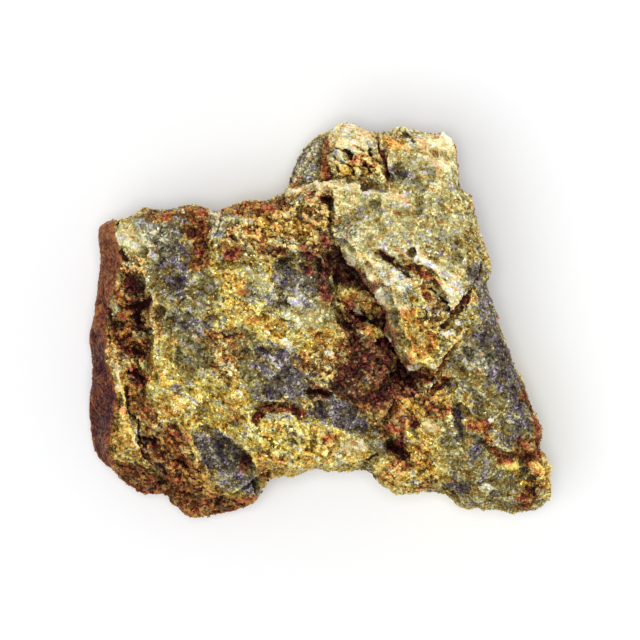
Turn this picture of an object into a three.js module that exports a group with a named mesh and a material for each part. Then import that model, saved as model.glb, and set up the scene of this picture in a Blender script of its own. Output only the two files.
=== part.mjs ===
// A hand-sized chunk of massive chalcopyrite ore, broken on every side.
// It lies on its back: +Z is up, towards the best face, +Y is the tower end and +X the side with the long
// slanting edge. The origin is on the resting plane, under the middle of the chunk.
// The best face is a sheet of ground heights inside a rim, the back is a second sheet with a flat spot to
// rest on, and a broken wall joins the two round the outline.

import * as THREE from 'three';

// Driving dimensions, in millimetres
const LENGTH = 80;
const FACE_SPACING = 1.3;
const BACK_SPACING = 2.3;

// The wall has this many points round the outline and rows of quads from rim to rim, and the points inside
// a sheet keep this far from its rim
const WALL_POINTS = 150;
const WALL_ROWS = 8;
const RIM_CLEARANCE = 1.3;

// Places on the best face are given as they are seen from above, in drawing units, with y down
const SEEN_LEFT = 88;
const SEEN_RIGHT = 551;
const SEEN_MIDDLE_Y = 319;
const MM_PER_UNIT = LENGTH / (SEEN_RIGHT - SEEN_LEFT);

// A place on the face, from drawing units to millimetres
function place([px, py]) {
  const middle = (SEEN_LEFT + SEEN_RIGHT) / 2;
  return new THREE.Vector2((px - middle) * MM_PER_UNIT, (SEEN_MIDDLE_Y - py) * MM_PER_UNIT);
}

// The outline, clockwise from the bottom of the left flank. Each stretch gives how far the rim of the best
// face lies inside the outline, the height at which the chunk is widest, and how far the back is drawn in.
const OUTLINE = [
  {
    name: 'lower left flank', rim: 4.2, widest: 5, back: 3.6,
    seen: [[113, 471], [101, 461], [93, 447], [90, 424], [88, 404]],
  },
  {
    name: 'middle left flank', rim: 2.7, widest: 5, back: 3.4,
    seen: [[92, 390], [95, 377], [91, 352], [91, 332], [96, 312]],
  },
  {
    name: 'upper left flank', rim: 3.6, widest: 6, back: 3.8,
    seen: [[97, 286], [100, 262], [100, 240], [101, 226]],
  },
  {
    name: 'top left edge', rim: 1.0, widest: 14, back: 3.6,
    seen: [
      [114, 222], [131, 219], [140, 214], [144, 208], [156, 206], [169, 207], [184, 200], [201, 201],
      [210, 207], [223, 207], [236, 201], [262, 199], [277, 198], [285, 192],
    ],
  },
  {
    name: 'grey side of the tower', rim: 4.9, widest: 9, back: 3.6,
    seen: [[286, 180], [291, 166], [297, 153], [306, 141], [318, 132]],
  },
  {
    name: 'top of the tower', rim: 1.5, widest: 13, back: 4.0,
    seen: [[333, 126], [348, 122], [362, 126], [375, 131], [398, 130], [409, 126], [422, 131], [443, 130]],
  },
  {
    name: 'slanting right edge', rim: 1.2, widest: 15, back: 4.2,
    seen: [
      [451, 136], [455, 156], [460, 186], [469, 200], [474, 222], [481, 247], [488, 261], [490, 282],
      [495, 305], [500, 328], [508, 350], [520, 372], [524, 386], [530, 402], [539, 422], [541, 446],
      [548, 467], [551, 488],
    ],
  },
  {
    name: 'right foot', rim: 1.7, widest: 9, back: 3.6,
    seen: [[546, 501], [534, 507], [505, 509], [490, 508], [470, 509], [455, 501], [446, 492]],
  },
  {
    name: 'arch', rim: 1.2, widest: 12, back: 3.6,
    seen: [
      [430, 490], [399, 491], [385, 486], [376, 477], [366, 465], [350, 467], [330, 471], [312, 468],
      [300, 469], [280, 477], [265, 481],
    ],
  },
  {
    name: 'left foot', rim: 3.0, widest: 7, back: 3.8,
    seen: [
      [262, 491], [255, 502], [240, 510], [222, 513], [199, 516], [184, 512], [172, 502], [160, 491],
      [146, 493], [130, 484],
    ],
  },
];

// Heights of the ground on the best face, as [x, y, height]. Between them it runs in flat triangles.
const GROUND = {
  'pale upper right plate': [
    [335, 205, 26.6], [338, 242, 27.0], [400, 205, 26.2], [400, 248, 27.2], [455, 205, 23.8],
    [480, 250, 24.2], [440, 256, 26.2],
  ],
  tower: [
    [328, 145, 21.6], [330, 178, 22.8], [372, 140, 22.0], [378, 180, 23.6], [345, 126, 20.2],
    [390, 140, 22.2], [396, 176, 22.8], [450, 138, 20.6], [456, 172, 22.0], [418, 128, 20.2],
  ],
  'lip between body and tower': [[287, 199, 23.6], [305, 194, 24.6], [330, 190, 25.4], [375, 192, 25.4]],
  'broad left face': [
    [230, 208, 23.0], [200, 207, 22.2], [150, 212, 20.4], [118, 228, 19.2], [145, 258, 21.2],
    [185, 262, 22.6], [250, 250, 24.6], [312, 236, 25.8], [318, 262, 25.2], [240, 300, 25.2],
    [298, 300, 25.4], [180, 320, 22.8], [160, 380, 21.6], [200, 362, 22.6], [250, 352, 23.8],
    [300, 345, 24.2], [335, 345, 22.6], [228, 402, 23.6], [270, 392, 22.6], [312, 396, 22.0],
  ],
  'left groove and its rim': [
    [116, 252, 18.4], [110, 290, 17.6], [106, 330, 17.0], [111, 368, 17.6], [136, 292, 18.6],
    [139, 330, 17.8], [138, 376, 18.0], [122, 396, 18.6], [120, 415, 18.8], [140, 455, 17.4],
    [113, 455, 15.0], [150, 410, 20.0],
  ],
  'lower left lobe': [
    [165, 440, 19.2], [190, 440, 20.4], [211, 478, 17.4], [207, 430, 20.4], [226, 456, 18.6],
    [243, 468, 18.6], [250, 440, 22.6], [258, 475, 18.8], [200, 500, 13.8], [175, 485, 14.6],
    [150, 477, 12.6], [238, 499, 15.0],
  ],
  nose: [
    [262, 424, 24.0], [300, 424, 25.4], [340, 430, 24.4], [272, 466, 21.6], [310, 460, 23.0],
    [345, 458, 21.8], [365, 445, 20.8],
  ],
  'dark hollow': [
    [343, 265, 25.0], [352, 290, 23.6], [362, 318, 22.2], [348, 330, 22.8], [384, 345, 21.6],
    [375, 375, 20.6], [350, 375, 21.4], [330, 405, 21.0], [400, 380, 21.0], [390, 410, 20.4],
    [365, 420, 20.2],
  ],
  'stepped right shoulder': [
    [376, 262, 26.4], [395, 285, 25.8], [392, 310, 24.2], [420, 300, 25.8], [455, 290, 26.2],
    [420, 340, 24.6], [445, 330, 24.8], [405, 352, 22.8], [430, 378, 22.8], [480, 285, 23.6],
  ],
  'lower right field': [
    [480, 330, 23.6], [460, 350, 24.2], [505, 375, 21.0], [470, 400, 23.0], [522, 440, 19.4],
    [470, 460, 22.0], [530, 482, 17.6], [500, 492, 18.8], [445, 475, 20.6], [405, 475, 19.4],
    [392, 445, 19.8], [430, 420, 22.4], [500, 440, 21.2], [420, 450, 21.6],
  ],
  'far corners': [[40, 80, 18], [600, 80, 18], [600, 560, 16], [40, 560, 10]],
};

// Breaks where the ground steps down from the walker's left hand to the right, fading out at both ends.
// drop is the step at the middle, run is how wide the broken slope is as seen from above, and high and low
// are how far each side feels it.
const LEDGES = [
  {
    name: 'cliff over the dark hollow', drop: 6.8, run: 2.6, high: 9, low: 7,
    line: [[330, 232], [340, 245], [360, 264], [368, 279], [380, 297], [389, 307], [391, 330], [401, 347],
      [413, 366], [425, 390]],
  },
  {
    name: 'left lip of the hollow', drop: 2.4, run: 1.2, high: 4, low: 4,
    line: [[347, 352], [349, 334], [341, 316], [333, 298], [330, 275], [324, 246]],
  },
  {
    name: 'brown side of the rubble block', drop: 2.2, run: 2.0, high: 5, low: 5,
    line: [[323, 134], [326, 152], [329, 168], [331, 184]],
  },
  {
    name: 'right wall of the left groove', drop: 2.1, run: 1.2, high: 4, low: 4,
    line: [[136, 258], [146, 280], [150, 300], [147, 322], [152, 345], [149, 366], [141, 390]],
  },
  {
    name: 'lip over the tower', drop: 3.0, run: 1.0, high: 4, low: 8,
    line: [[396, 191], [374, 187], [352, 184], [330, 184], [302, 188], [285, 194]],
  },
  {
    name: 'step under the pale plate', drop: 1.3, run: 0.9, high: 4, low: 3,
    line: [[368, 249], [384, 251], [394, 261], [403, 270], [410, 284], [409, 296]],
  },
  {
    name: 'step above the cream facet', drop: 1.2, run: 0.9, high: 4, low: 3,
    line: [[402, 262], [418, 266], [431, 272], [438, 284], [443, 296], [449, 308]],
  },
  {
    name: 'slanting break', drop: 1.9, run: 1.0, high: 5, low: 5,
    line: [[428, 338], [438, 327], [447, 318], [458, 306], [466, 299], [472, 288], [480, 280], [481, 264]],
  },
  {
    name: 'second slanting break', drop: 1.2, run: 0.8, high: 3, low: 4,
    line: [[420, 392], [430, 382], [437, 373], [443, 364], [451, 351], [458, 339], [463, 326]],
  },
  {
    name: 'step under the rusty band', drop: 1.5, run: 1.0, high: 5, low: 4,
    line: [[210, 262], [240, 260], [270, 264], [300, 254], [322, 250]],
  },
  {
    name: 'step beside the sparkling facet', drop: 1.7, run: 0.8, high: 4, low: 3,
    line: [[148, 462], [143, 451], [137, 429], [128, 410], [129, 400], [125, 382]],
  },
  {
    name: 'ridge beside the indigo recess', drop: 2.0, run: 0.9, high: 3, low: 4,
    line: [[216, 484], [208, 471], [200, 456], [193, 440], [190, 428]],
  },
  {
    name: 'right wall of the indigo recess', drop: 2.0, run: 1.0, high: 4, low: 4,
    line: [[222, 428], [238, 444], [250, 458], [252, 474]],
  },
  {
    name: 'lower right step', drop: 1.1, run: 0.8, high: 4, low: 5,
    line: [[452, 430], [478, 436], [492, 446], [512, 452], [528, 460]],
  },
];

// Cracks and crevices, deepest in the middle of their width
const GROOVES = [
  {
    name: 'crack down the tower', depth: 1.3, width: 0.8,
    line: [[375, 129], [381, 146], [383, 161], [387, 174], [391, 188]],
  },
  { name: 'short crack in the tower', depth: 1.0, width: 0.8, line: [[404, 127], [410, 138], [416, 147]] },
  { name: 'edge of the pale plate', depth: 1.0, width: 0.8, line: [[331, 196], [332, 215], [331, 233]] },
  {
    name: 'crevice over the nose', depth: 1.3, width: 1.2,
    line: [[250, 424], [259, 411], [273, 405], [290, 406], [304, 411], [328, 416]],
  },
  {
    name: 'crevice beside the sparkling facet', depth: 1.1, width: 0.8,
    line: [[127, 384], [131, 400], [130, 409], [139, 428], [145, 450], [149, 461]],
  },
  { name: 'notch over the arch', depth: 1.4, width: 1.4, line: [[381, 430], [392, 443], [404, 459]] },
  { name: 'slit beside the arch', depth: 1.2, width: 0.8, line: [[365, 463], [376, 453]] },
  { name: 'seam in the broad face', depth: 1.0, width: 0.9, line: [[303, 388], [318, 391], [334, 397]] },
  { name: 'slanting seam', depth: 1.2, width: 0.9, line: [[434, 331], [447, 318], [459, 305], [476, 284]] },
  { name: 'ribbed groove', depth: 0.9, width: 1.2, line: [[454, 392], [456, 412], [461, 438]] },
  { name: 'rusty groove', depth: 0.9, width: 0.9, line: [[522, 482], [534, 474], [547, 466]] },
];

// How far apart the corners of a broken edge are, and how far they stray from its line
const RAGGED_STEP = 1.5;
const RAGGED_SIZE = 0.5;

// Pits, with a negative height, and lumps, as [x, y, radius, height] with the last two in millimetres
const PITS_AND_LUMPS = {
  'pits in the left groove': [
    [128, 284, 2.6, -1.1], [139, 308, 2.2, -1.4], [117, 325, 1.8, -1.0], [136, 350, 2.0, -1.2],
    [136, 376, 1.9, -1.3], [154, 441, 1.6, -1.0],
  ],
  'pits in the tower': [
    [347, 154, 1.3, -1.3], [365, 186, 1.2, -1.2], [397, 173, 1.9, -0.9], [326, 201, 1.2, -1.1],
    [413, 144, 1.1, -0.9],
  ],
  'round hole in the pale plate': [[410, 253, 0.9, -1.5]],
  'small hollows': [
    [178, 285, 2.2, -0.9], [163, 250, 2.0, -0.6], [440, 385, 2.2, -0.7], [358, 312, 1.4, -0.9],
  ],
  'lumps in the hollow': [[353, 298, 3.2, 1.9], [367, 333, 2.6, 2.1], [330, 376, 3.2, 0.9]],
  'lumps on the broad face': [
    [232, 278, 3.4, 0.8], [176, 405, 3.6, 0.8], [238, 402, 2.4, 0.9], [284, 332, 4.2, 0.7],
  ],
  'lumps on the right': [
    [506, 465, 2.4, 1.0], [536, 468, 2.2, 1.3], [437, 394, 1.8, 0.9], [397, 282, 2.4, 1.1],
    [372, 268, 1.8, 0.7],
  ],
};

// Broken facets of the rock, as cells of three sizes with a tilt and a height each
const COARSE_FACETS = { cell: 8.5, height: 0.4, tilt: 1.4, salt: 11 };
const FINE_FACETS = { cell: 3.3, height: 0.26, tilt: 0.7, salt: 23 };
const WALL_FACETS = { cell: 9.5, height: 1.1, tilt: 2.6, salt: 37 };
const WALL_CHIPS = { cell: 4.2, height: 0.5, tilt: 1.1, salt: 41 };

// The rim of the best face is worn down by this much
const WORN_EDGE = 0.8;

// Between the outline and a rim the wall bellies out by this share of the distance to the rim. Close to the
// outline it stands out less: by no more than the second number times the share of the way to the rim.
const BELLY = 0.1;
const BELLY_SLOPE = 1.4;

// The wall's facets have the first share of their size at the outline, and all of it from the second share of
// the way to a rim. Belly and facets together stand out by no more than the third number times that share of
// the way. Each row is lifted or lowered by up to the last number.
const OUTLINE_ROUGHNESS = 0.12;
const FULL_ROUGHNESS_FROM = 0.45;
const STEEPEST_OUT = 3;
const ROW_WOBBLE = 0.25;

// How often the outline is smoothed for the rim of the back, and for the directions that the rims move in
const BACK_SMOOTHING = 14;
const FACE_DIRECTION_SMOOTHING = 5;
const BACK_DIRECTION_SMOOTHING = 16;

// Ledges and grooves fade out over this share of their length at each end, and a ledge isn't felt further off
// than this many times its high or low reach
const END_FADE = 0.16;
const FELT_REACHES = 4;

// In a sheet, lattice points are shaken by this share of the spacing. The points beside ledges and grooves,
// and then the lattice points, keep these shares of the spacing from the points before them.
const LATTICE_SHAKE = 0.36;
const FEATURE_GAP = 0.42;
const LATTICE_GAP = 0.62;

// The flat spot on the back and the planes that rise from it, as [direction in degrees, distance, slope]
const FOOT_CENTRE_SEEN = [318, 328];
const BACK_PLANES = [
  [5, 16, 0.24], [48, 15, 0.3], [88, 12, 0.22], [128, 17, 0.28], [178, 17, 0.15], [222, 15, 0.24],
  [268, 11, 0.26], [318, 16, 0.19],
];
const BACK_ROUGH_RISE = 0.9;
const BACK_ROUGH_FROM = 1.6;
const BACK_FACET_DEPTH = -20;

// A repeatable number from 0 to 1 for one cell of a lattice
function cellNumber(ix, iy, iz, salt) {
  let h = Math.imul(ix, 374761393) ^ Math.imul(iy, 668265263) ^ Math.imul(iz, 1442695041);
  h = Math.imul(h ^ Math.imul(salt, 1274126177) ^ (h >>> 13), 1103515245);
  h = Math.imul(h ^ (h >>> 15), 2246822519);
  return ((h ^ (h >>> 16)) >>> 0) / 4294967296;
}

// The rise of the facet that holds a point: each lattice cell has one jittered centre, and the nearest
// centre's own height and tilt give a flat facet
function facetRise(x, y, z, { cell, height, tilt, salt }) {
  const [ix, iy, iz] = [x, y, z].map((v) => Math.floor(v / cell));
  let nearest = Infinity;
  let rise = 0;
  for (let a = ix - 1; a <= ix + 1; a++) {
    for (let b = iy - 1; b <= iy + 1; b++) {
      for (let c = iz - 1; c <= iz + 1; c++) {
        const dx = x / cell - a - cellNumber(a, b, c, salt);
        const dy = y / cell - b - cellNumber(a, b, c, salt + 1);
        const dz = z / cell - c - cellNumber(a, b, c, salt + 2);
        const distance = dx * dx + dy * dy + dz * dz;
        if (distance >= nearest) continue;
        nearest = distance;
        const lean = (step) => 2 * cellNumber(a, b, c, salt + step) - 1;
        rise = height * lean(3) + tilt * (lean(4) * dx + lean(5) * dy + lean(6) * dz);
      }
    }
  }
  return rise;
}

// Delaunay triangles of a set of points, by adding one point at a time
function triangulate(points) {
  const far = 1e5;
  const around = [[-far, -far], [far, -far], [0, far]].map(([x, y]) => new THREE.Vector2(x, y));
  const all = [...points, ...around];
  const withCircle = (corners) => {
    const [a, b, c] = corners.map((i) => all[i]);
    const turn = 2 * ((b.x - a.x) * (c.y - a.y) - (b.y - a.y) * (c.x - a.x));
    const bb = (b.x - a.x) ** 2 + (b.y - a.y) ** 2;
    const cc = (c.x - a.x) ** 2 + (c.y - a.y) ** 2;
    const ux = ((c.y - a.y) * bb - (b.y - a.y) * cc) / turn;
    const uy = ((b.x - a.x) * cc - (c.x - a.x) * bb) / turn;
    return { corners, x: a.x + ux, y: a.y + uy, reach: ux * ux + uy * uy };
  };
  const n = points.length;
  let triangles = [withCircle([n, n + 1, n + 2])];
  points.forEach((p, i) => {
    const hole = new Map();
    triangles = triangles.filter((t) => {
      if ((t.x - p.x) ** 2 + (t.y - p.y) ** 2 > t.reach) return true;
      t.corners.forEach((from, k) => {
        const to = t.corners[(k + 1) % 3];
        if (!hole.delete(`${to},${from}`)) hole.set(`${from},${to}`, [from, to]);
      });
      return false;
    });
    for (const [from, to] of hole.values()) triangles.push(withCircle([from, to, i]));
  });
  return triangles.map((t) => t.corners).filter((t) => t.every((i) => i < n));
}

// The nearest place on a line of points: distance, the side (positive on the walker's left) and how far along
function nearestOnLine(p, line) {
  let best = { distance: Infinity, side: 1, along: 0 };
  let walked = 0;
  for (let i = 0; i + 1 < line.length; i++) {
    const step = line[i + 1].clone().sub(line[i]);
    const out = p.clone().sub(line[i]);
    const t = THREE.MathUtils.clamp(out.dot(step) / step.lengthSq(), 0, 1);
    const distance = out.clone().addScaledVector(step, -t).length();
    if (distance < best.distance) {
      best = { distance, side: Math.sign(step.cross(out)) || 1, along: walked + t * step.length() };
    }
    walked += step.length();
  }
  return { ...best, share: best.along / walked };
}

// 1 along the middle of a line and 0 at its ends
function fadeAtEnds(share) {
  return THREE.MathUtils.smoothstep(Math.min(share, 1 - share), 0, END_FADE);
}

// A line drawn again with a ragged edge, as rock breaks, and the box round it
function ragged(seen, salt) {
  const path = new THREE.CurvePath();
  const given = seen.map(place);
  given.slice(1).forEach((to, i) => path.add(new THREE.LineCurve(given[i], to)));
  const steps = Math.max(2, Math.round(path.getLength() / RAGGED_STEP));
  const line = Array.from({ length: steps + 1 }, (_, k) => {
    const at = path.getPointAt(k / steps);
    const ahead = path.getTangentAt(Math.min(k / steps, 0.999));
    const aside = k % steps ? RAGGED_SIZE * (2 * cellNumber(k, salt, 0, 5) - 1) : 0;
    return new THREE.Vector2(at.x - ahead.y * aside, at.y + ahead.x * aside);
  });
  return { line, box: new THREE.Box2().setFromPoints(line) };
}

const ledges = LEDGES.map((ledge, i) => ({ ...ledge, ...ragged(ledge.line, i) }));
const grooves = GROOVES.map((groove, i) => ({ ...groove, ...ragged(groove.line, i + LEDGES.length) }));
const pitsAndLumps = Object.values(PITS_AND_LUMPS).flat().map(([px, py, radius, height]) => ({
  at: place([px, py]), radius, height,
}));
const spots = Object.values(GROUND).flat().map(([px, py, height]) => ({ at: place([px, py]), height }));
const spotTriangles = triangulate(spots.map((s) => s.at)).map((t) => t.map((i) => spots[i]));

// The height of the flat triangle of spots that holds a point
function spotHeight(p) {
  for (const [a, b, c] of spotTriangles) {
    const ab = b.at.clone().sub(a.at);
    const ac = c.at.clone().sub(a.at);
    const ap = p.clone().sub(a.at);
    const whole = ab.cross(ac);
    const v = ap.cross(ac) / whole;
    const w = ab.cross(ap) / whole;
    if (v >= -1e-9 && w >= -1e-9 && v + w <= 1 + 1e-9) {
      return a.height + v * (b.height - a.height) + w * (c.height - a.height);
    }
  }
  throw new Error(`no ground is given at ${p.x}, ${p.y}`);
}

// The height of the best face over a point
function faceHeight(p) {
  let z = spotHeight(p);
  for (const { line, box, drop, run, high, low } of ledges) {
    if (box.distanceToPoint(p) > FELT_REACHES * Math.max(high, low)) continue;
    const { distance, side, share } = nearestOnLine(p, line);
    const slope = Math.min(1, distance / (run / 2));
    const beyond = Math.max(0, distance - run / 2) / (side > 0 ? high : low);
    z += side * (drop / 2) * slope * Math.exp(-beyond) * fadeAtEnds(share);
  }
  for (const { line, box, depth, width } of grooves) {
    if (box.distanceToPoint(p) > width) continue;
    const { distance, share } = nearestOnLine(p, line);
    z -= depth * Math.max(0, 1 - distance / width) * fadeAtEnds(share);
  }
  for (const { at, radius, height } of pitsAndLumps) {
    z += height * Math.max(0, 1 - (p.distanceTo(at) / radius) ** 2);
  }
  return z + facetRise(p.x, p.y, 0, COARSE_FACETS) + facetRise(p.x, p.y, 0, FINE_FACETS);
}

// The height of the back over a point: 0 on the flat spot, and rising in planes outside it
function backHeight(p) {
  const out = p.clone().sub(place(FOOT_CENTRE_SEEN));
  const rises = BACK_PLANES.map(([degrees, distance, slope]) => {
    const angle = THREE.MathUtils.degToRad(degrees);
    return slope * (out.x * Math.cos(angle) + out.y * Math.sin(angle) - distance);
  });
  const rise = Math.max(0, ...rises);
  const facets = facetRise(p.x, p.y, BACK_FACET_DEPTH, WALL_FACETS)
    + facetRise(p.x, p.y, BACK_FACET_DEPTH, WALL_CHIPS);
  const rough = Math.max(0, BACK_ROUGH_RISE + facets);
  return rise + rough * THREE.MathUtils.smoothstep(rise, 0, BACK_ROUGH_FROM);
}

// Each value of a closed loop is drawn towards the mean of its two neighbours
function smoothLoop(values, passes, mean) {
  let loop = values;
  for (let pass = 0; pass < passes; pass++) {
    loop = loop.map((v, i) => mean(v, loop.at(i - 1), loop[(i + 1) % loop.length]));
  }
  return loop;
}

const meanNumber = (v, before, after) => v / 2 + (before + after) / 4;
const meanPoint = (v, before, after) =>
  v.clone().multiplyScalar(0.5).addScaledVector(before, 0.25).addScaledVector(after, 0.25);

// Evenly spaced points round the outline, anticlockwise, each with the numbers of its stretch
function outlineLoop() {
  const given = OUTLINE.flatMap(({ seen, rim, widest, back }) =>
    seen.map((at) => ({ at: place(at), rim, widest, back }))).reverse();
  const curve = new THREE.CatmullRomCurve3(
    given.map(({ at }) => new THREE.Vector3(at.x, at.y, 0)), true, 'centripetal');
  const points = curve.getSpacedPoints(WALL_POINTS).slice(0, -1).map((v) => new THREE.Vector2(v.x, v.y));
  const nearest = points.map((p) =>
    given.reduce((a, b) => (p.distanceTo(b.at) < p.distanceTo(a.at) ? b : a)));
  const along = (key, passes) => smoothLoop(nearest.map((g) => g[key]), passes, meanNumber);
  return { points, rim: along('rim', 3), widest: along('widest', 10), back: along('back', 10) };
}

// Outward directions of a loop, steady enough to draw its points in
function outwards(points, passes) {
  return smoothLoop(points, passes, meanPoint).map((p, i, loop) => {
    const step = loop[(i + 1) % loop.length].clone().sub(loop.at(i - 1));
    return new THREE.Vector2(step.y, -step.x).normalize();
  });
}

function insideLoop(p, loop) {
  let inside = false;
  loop.forEach((a, i) => {
    const b = loop[(i + 1) % loop.length];
    if (a.y > p.y !== b.y > p.y && p.x < ((b.x - a.x) * (p.y - a.y)) / (b.y - a.y) + a.x) inside = !inside;
  });
  return inside;
}

// Points on both sides of each ledge and along and beside each groove, so that these stay crisp
function featurePoints() {
  const rows = [
    ...ledges.map(({ line, run }) => ({ line, offsets: [-run / 2, run / 2] })),
    ...grooves.map(({ line, width }) => ({ line, offsets: [-width, 0, width] })),
  ];
  const found = [];
  for (const { line, offsets } of rows) {
    line.forEach((at, k) => {
      const ahead = line[Math.min(k + 1, line.length - 1)].clone().sub(line[Math.max(k - 1, 0)]).normalize();
      for (const offset of offsets) {
        found.push(new THREE.Vector2(at.x - ahead.y * offset, at.y + ahead.x * offset));
      }
    });
  }
  for (const { at, radius } of pitsAndLumps) {
    found.push(at);
    for (let k = 0; k < 6; k++) {
      const angle = (k * Math.PI) / 3;
      found.push(new THREE.Vector2(at.x + radius * Math.cos(angle), at.y + radius * Math.sin(angle)));
    }
  }
  return found;
}

// A jittered lattice of points that covers a loop
function latticePoints(loop, spacing, salt) {
  const box = new THREE.Box2().setFromPoints(loop);
  const rowHeight = spacing * Math.sqrt(0.75);
  const found = [];
  for (let row = 0; row * rowHeight < box.max.y - box.min.y; row++) {
    for (let k = 0; k * spacing < box.max.x - box.min.x; k++) {
      const shake = (step) => LATTICE_SHAKE * spacing * (cellNumber(row, k, step, salt) - 0.5);
      const x = box.min.x + (k + (row % 2) / 2) * spacing + shake(0);
      found.push(new THREE.Vector2(x, box.min.y + row * rowHeight + shake(1)));
    }
  }
  return found;
}

// A sheet of triangles inside a loop: the loop's points come first, then the kept feature and lattice points
function sheetInside(loop, spacing, features, salt) {
  const points = [...loop];
  const keep = (candidates, gap) => {
    for (const p of candidates) {
      const clear = points.every((q, i) => p.distanceTo(q) > (i < loop.length ? RIM_CLEARANCE : gap));
      if (clear && insideLoop(p, loop)) points.push(p);
    }
  };
  keep(features, FEATURE_GAP * spacing);
  keep(latticePoints(loop, spacing, salt), LATTICE_GAP * spacing);
  const middle = (t) => new THREE.Vector2(
    t.reduce((sum, i) => sum + points[i].x, 0) / 3, t.reduce((sum, i) => sum + points[i].y, 0) / 3);
  return { points, triangles: triangulate(points).filter((t) => insideLoop(middle(t), loop)) };
}

// One column of the wall, from the rim of the best face (top) by the outline (turn) to the rim of the back
function wallColumn(top, turn, bottom, outward, phase) {
  const upper = turn.distanceTo(top);
  const lower = turn.distanceTo(bottom);
  const turnRow = THREE.MathUtils.clamp(Math.round((WALL_ROWS * upper) / (upper + lower)), 2, WALL_ROWS - 2);
  return Array.from({ length: WALL_ROWS + 1 }, (_, row) => {
    const above = row <= turnRow;
    const away = above ? 1 - row / turnRow : (row - turnRow) / (WALL_ROWS - turnRow);
    const p = turn.clone().lerp(above ? top : bottom, away);
    const belly = BELLY * Math.sin(Math.PI * away) * (above ? upper : lower);
    const fromRim = Math.min(row, WALL_ROWS - row, 2) / 2;
    const facets = facetRise(p.x, p.y, p.z, WALL_FACETS) + facetRise(p.x, p.y, p.z, WALL_CHIPS);
    const full = Math.min(1, away / FULL_ROUGHNESS_FROM);
    const rough = THREE.MathUtils.lerp(OUTLINE_ROUGHNESS, 1, full) * fromRim * facets;
    const out = Math.min(Math.min(belly, BELLY_SLOPE * away) + rough, STEEPEST_OUT * away);
    const lift = ROW_WOBBLE * Math.sin(phase + row) * fromRim;
    return p.add(new THREE.Vector3(outward.x * out, outward.y * out, lift));
  });
}

// The chunk as one closed surface: best face, wall and back
function chunkGeometry() {
  const { points: outer, rim, widest, back } = outlineLoop();
  const direction = outwards(outer, FACE_DIRECTION_SMOOTHING);
  const frontLoop = smoothLoop(outer, 1, meanPoint).map((p, i) => p.addScaledVector(direction[i], -rim[i]));
  const backDirection = outwards(outer, BACK_DIRECTION_SMOOTHING);
  const backLoop = smoothLoop(outer, BACK_SMOOTHING, meanPoint)
    .map((p, i) => p.addScaledVector(backDirection[i], -back[i]));

  const positions = [];
  const faces = [];
  const add = (x, y, z) => positions.push(x, y, z) / 3 - 1;

  const face = sheetInside(frontLoop, FACE_SPACING, featurePoints(), 3);
  const faceIds = face.points.map((p, i) => {
    const worn = i < frontLoop.length ? WORN_EDGE : 0;
    return add(p.x, p.y, faceHeight(p) - worn);
  });
  face.triangles.forEach((t) => faces.push(...t.map((i) => faceIds[i])));

  const under = sheetInside(backLoop, BACK_SPACING, [], 7);
  const underIds = under.points.map((p) => add(p.x, p.y, backHeight(p)));
  under.triangles.forEach((t) => faces.push(...t.map((i) => underIds[i]).reverse()));

  const at = (id) => new THREE.Vector3().fromArray(positions, id * 3);
  const columns = outer.map((p, i) => {
    const turn = new THREE.Vector3(p.x, p.y, widest[i]);
    const column = wallColumn(at(faceIds[i]), turn, at(underIds[i]), direction[i], i);
    return column.map((v, row) => {
      if (row === 0) return faceIds[i];
      return row === WALL_ROWS ? underIds[i] : add(v.x, v.y, v.z);
    });
  });
  columns.forEach((column, i) => {
    const next = columns[(i + 1) % columns.length];
    for (let row = 0; row < WALL_ROWS; row++) {
      const [a, b, c, d] = [column[row], column[row + 1], next[row + 1], next[row]];
      const halves = (i + row) % 2 ? [a, b, d, b, c, d] : [a, b, c, a, c, d];
      faces.push(...halves);
    }
  });

  const geometry = new THREE.BufferGeometry();
  geometry.setAttribute('position', new THREE.Float32BufferAttribute(positions, 3));
  geometry.setIndex(faces);
  geometry.computeVertexNormals();
  return geometry;
}

// The ore: dull brass with a brown and grey tarnish over it
const ore = new THREE.MeshStandardMaterial({
  color: 0x8c7238, roughness: 0.55, metalness: 0.45, flatShading: true,
});

const chunk = new THREE.Mesh(chunkGeometry(), ore);
chunk.name = 'ore_chunk';

// The origin goes under the middle of the chunk's box, on the resting plane
const box = new THREE.Box3().setFromObject(chunk);
const middle = box.getCenter(new THREE.Vector3());
chunk.position.set(-middle.x, -middle.y, -box.min.z);

const specimen = new THREE.Group();
specimen.add(chunk);

export default specimen;
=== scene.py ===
"""A chunk of massive chalcopyrite ore, lying on its back under soft studio light, seen from straight above."""

import math

import bmesh
import bpy
import numpy as np
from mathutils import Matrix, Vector

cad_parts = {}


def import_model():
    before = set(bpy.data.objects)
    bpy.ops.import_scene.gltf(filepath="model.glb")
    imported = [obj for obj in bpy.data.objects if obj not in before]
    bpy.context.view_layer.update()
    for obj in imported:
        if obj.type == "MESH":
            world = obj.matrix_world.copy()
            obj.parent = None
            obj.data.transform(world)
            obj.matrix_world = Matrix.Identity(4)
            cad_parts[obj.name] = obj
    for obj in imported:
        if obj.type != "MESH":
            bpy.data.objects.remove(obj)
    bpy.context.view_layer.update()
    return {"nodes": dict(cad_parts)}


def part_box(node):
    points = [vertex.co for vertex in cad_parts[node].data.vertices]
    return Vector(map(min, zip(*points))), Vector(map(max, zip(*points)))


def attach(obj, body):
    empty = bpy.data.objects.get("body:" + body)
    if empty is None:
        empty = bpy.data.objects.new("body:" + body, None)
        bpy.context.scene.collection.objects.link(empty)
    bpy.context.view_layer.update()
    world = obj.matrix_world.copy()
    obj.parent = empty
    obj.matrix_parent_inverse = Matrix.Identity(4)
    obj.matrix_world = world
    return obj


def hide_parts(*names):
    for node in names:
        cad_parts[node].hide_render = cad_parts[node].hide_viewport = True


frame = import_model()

NODE = "ore_chunk"
MM = 0.001

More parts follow.
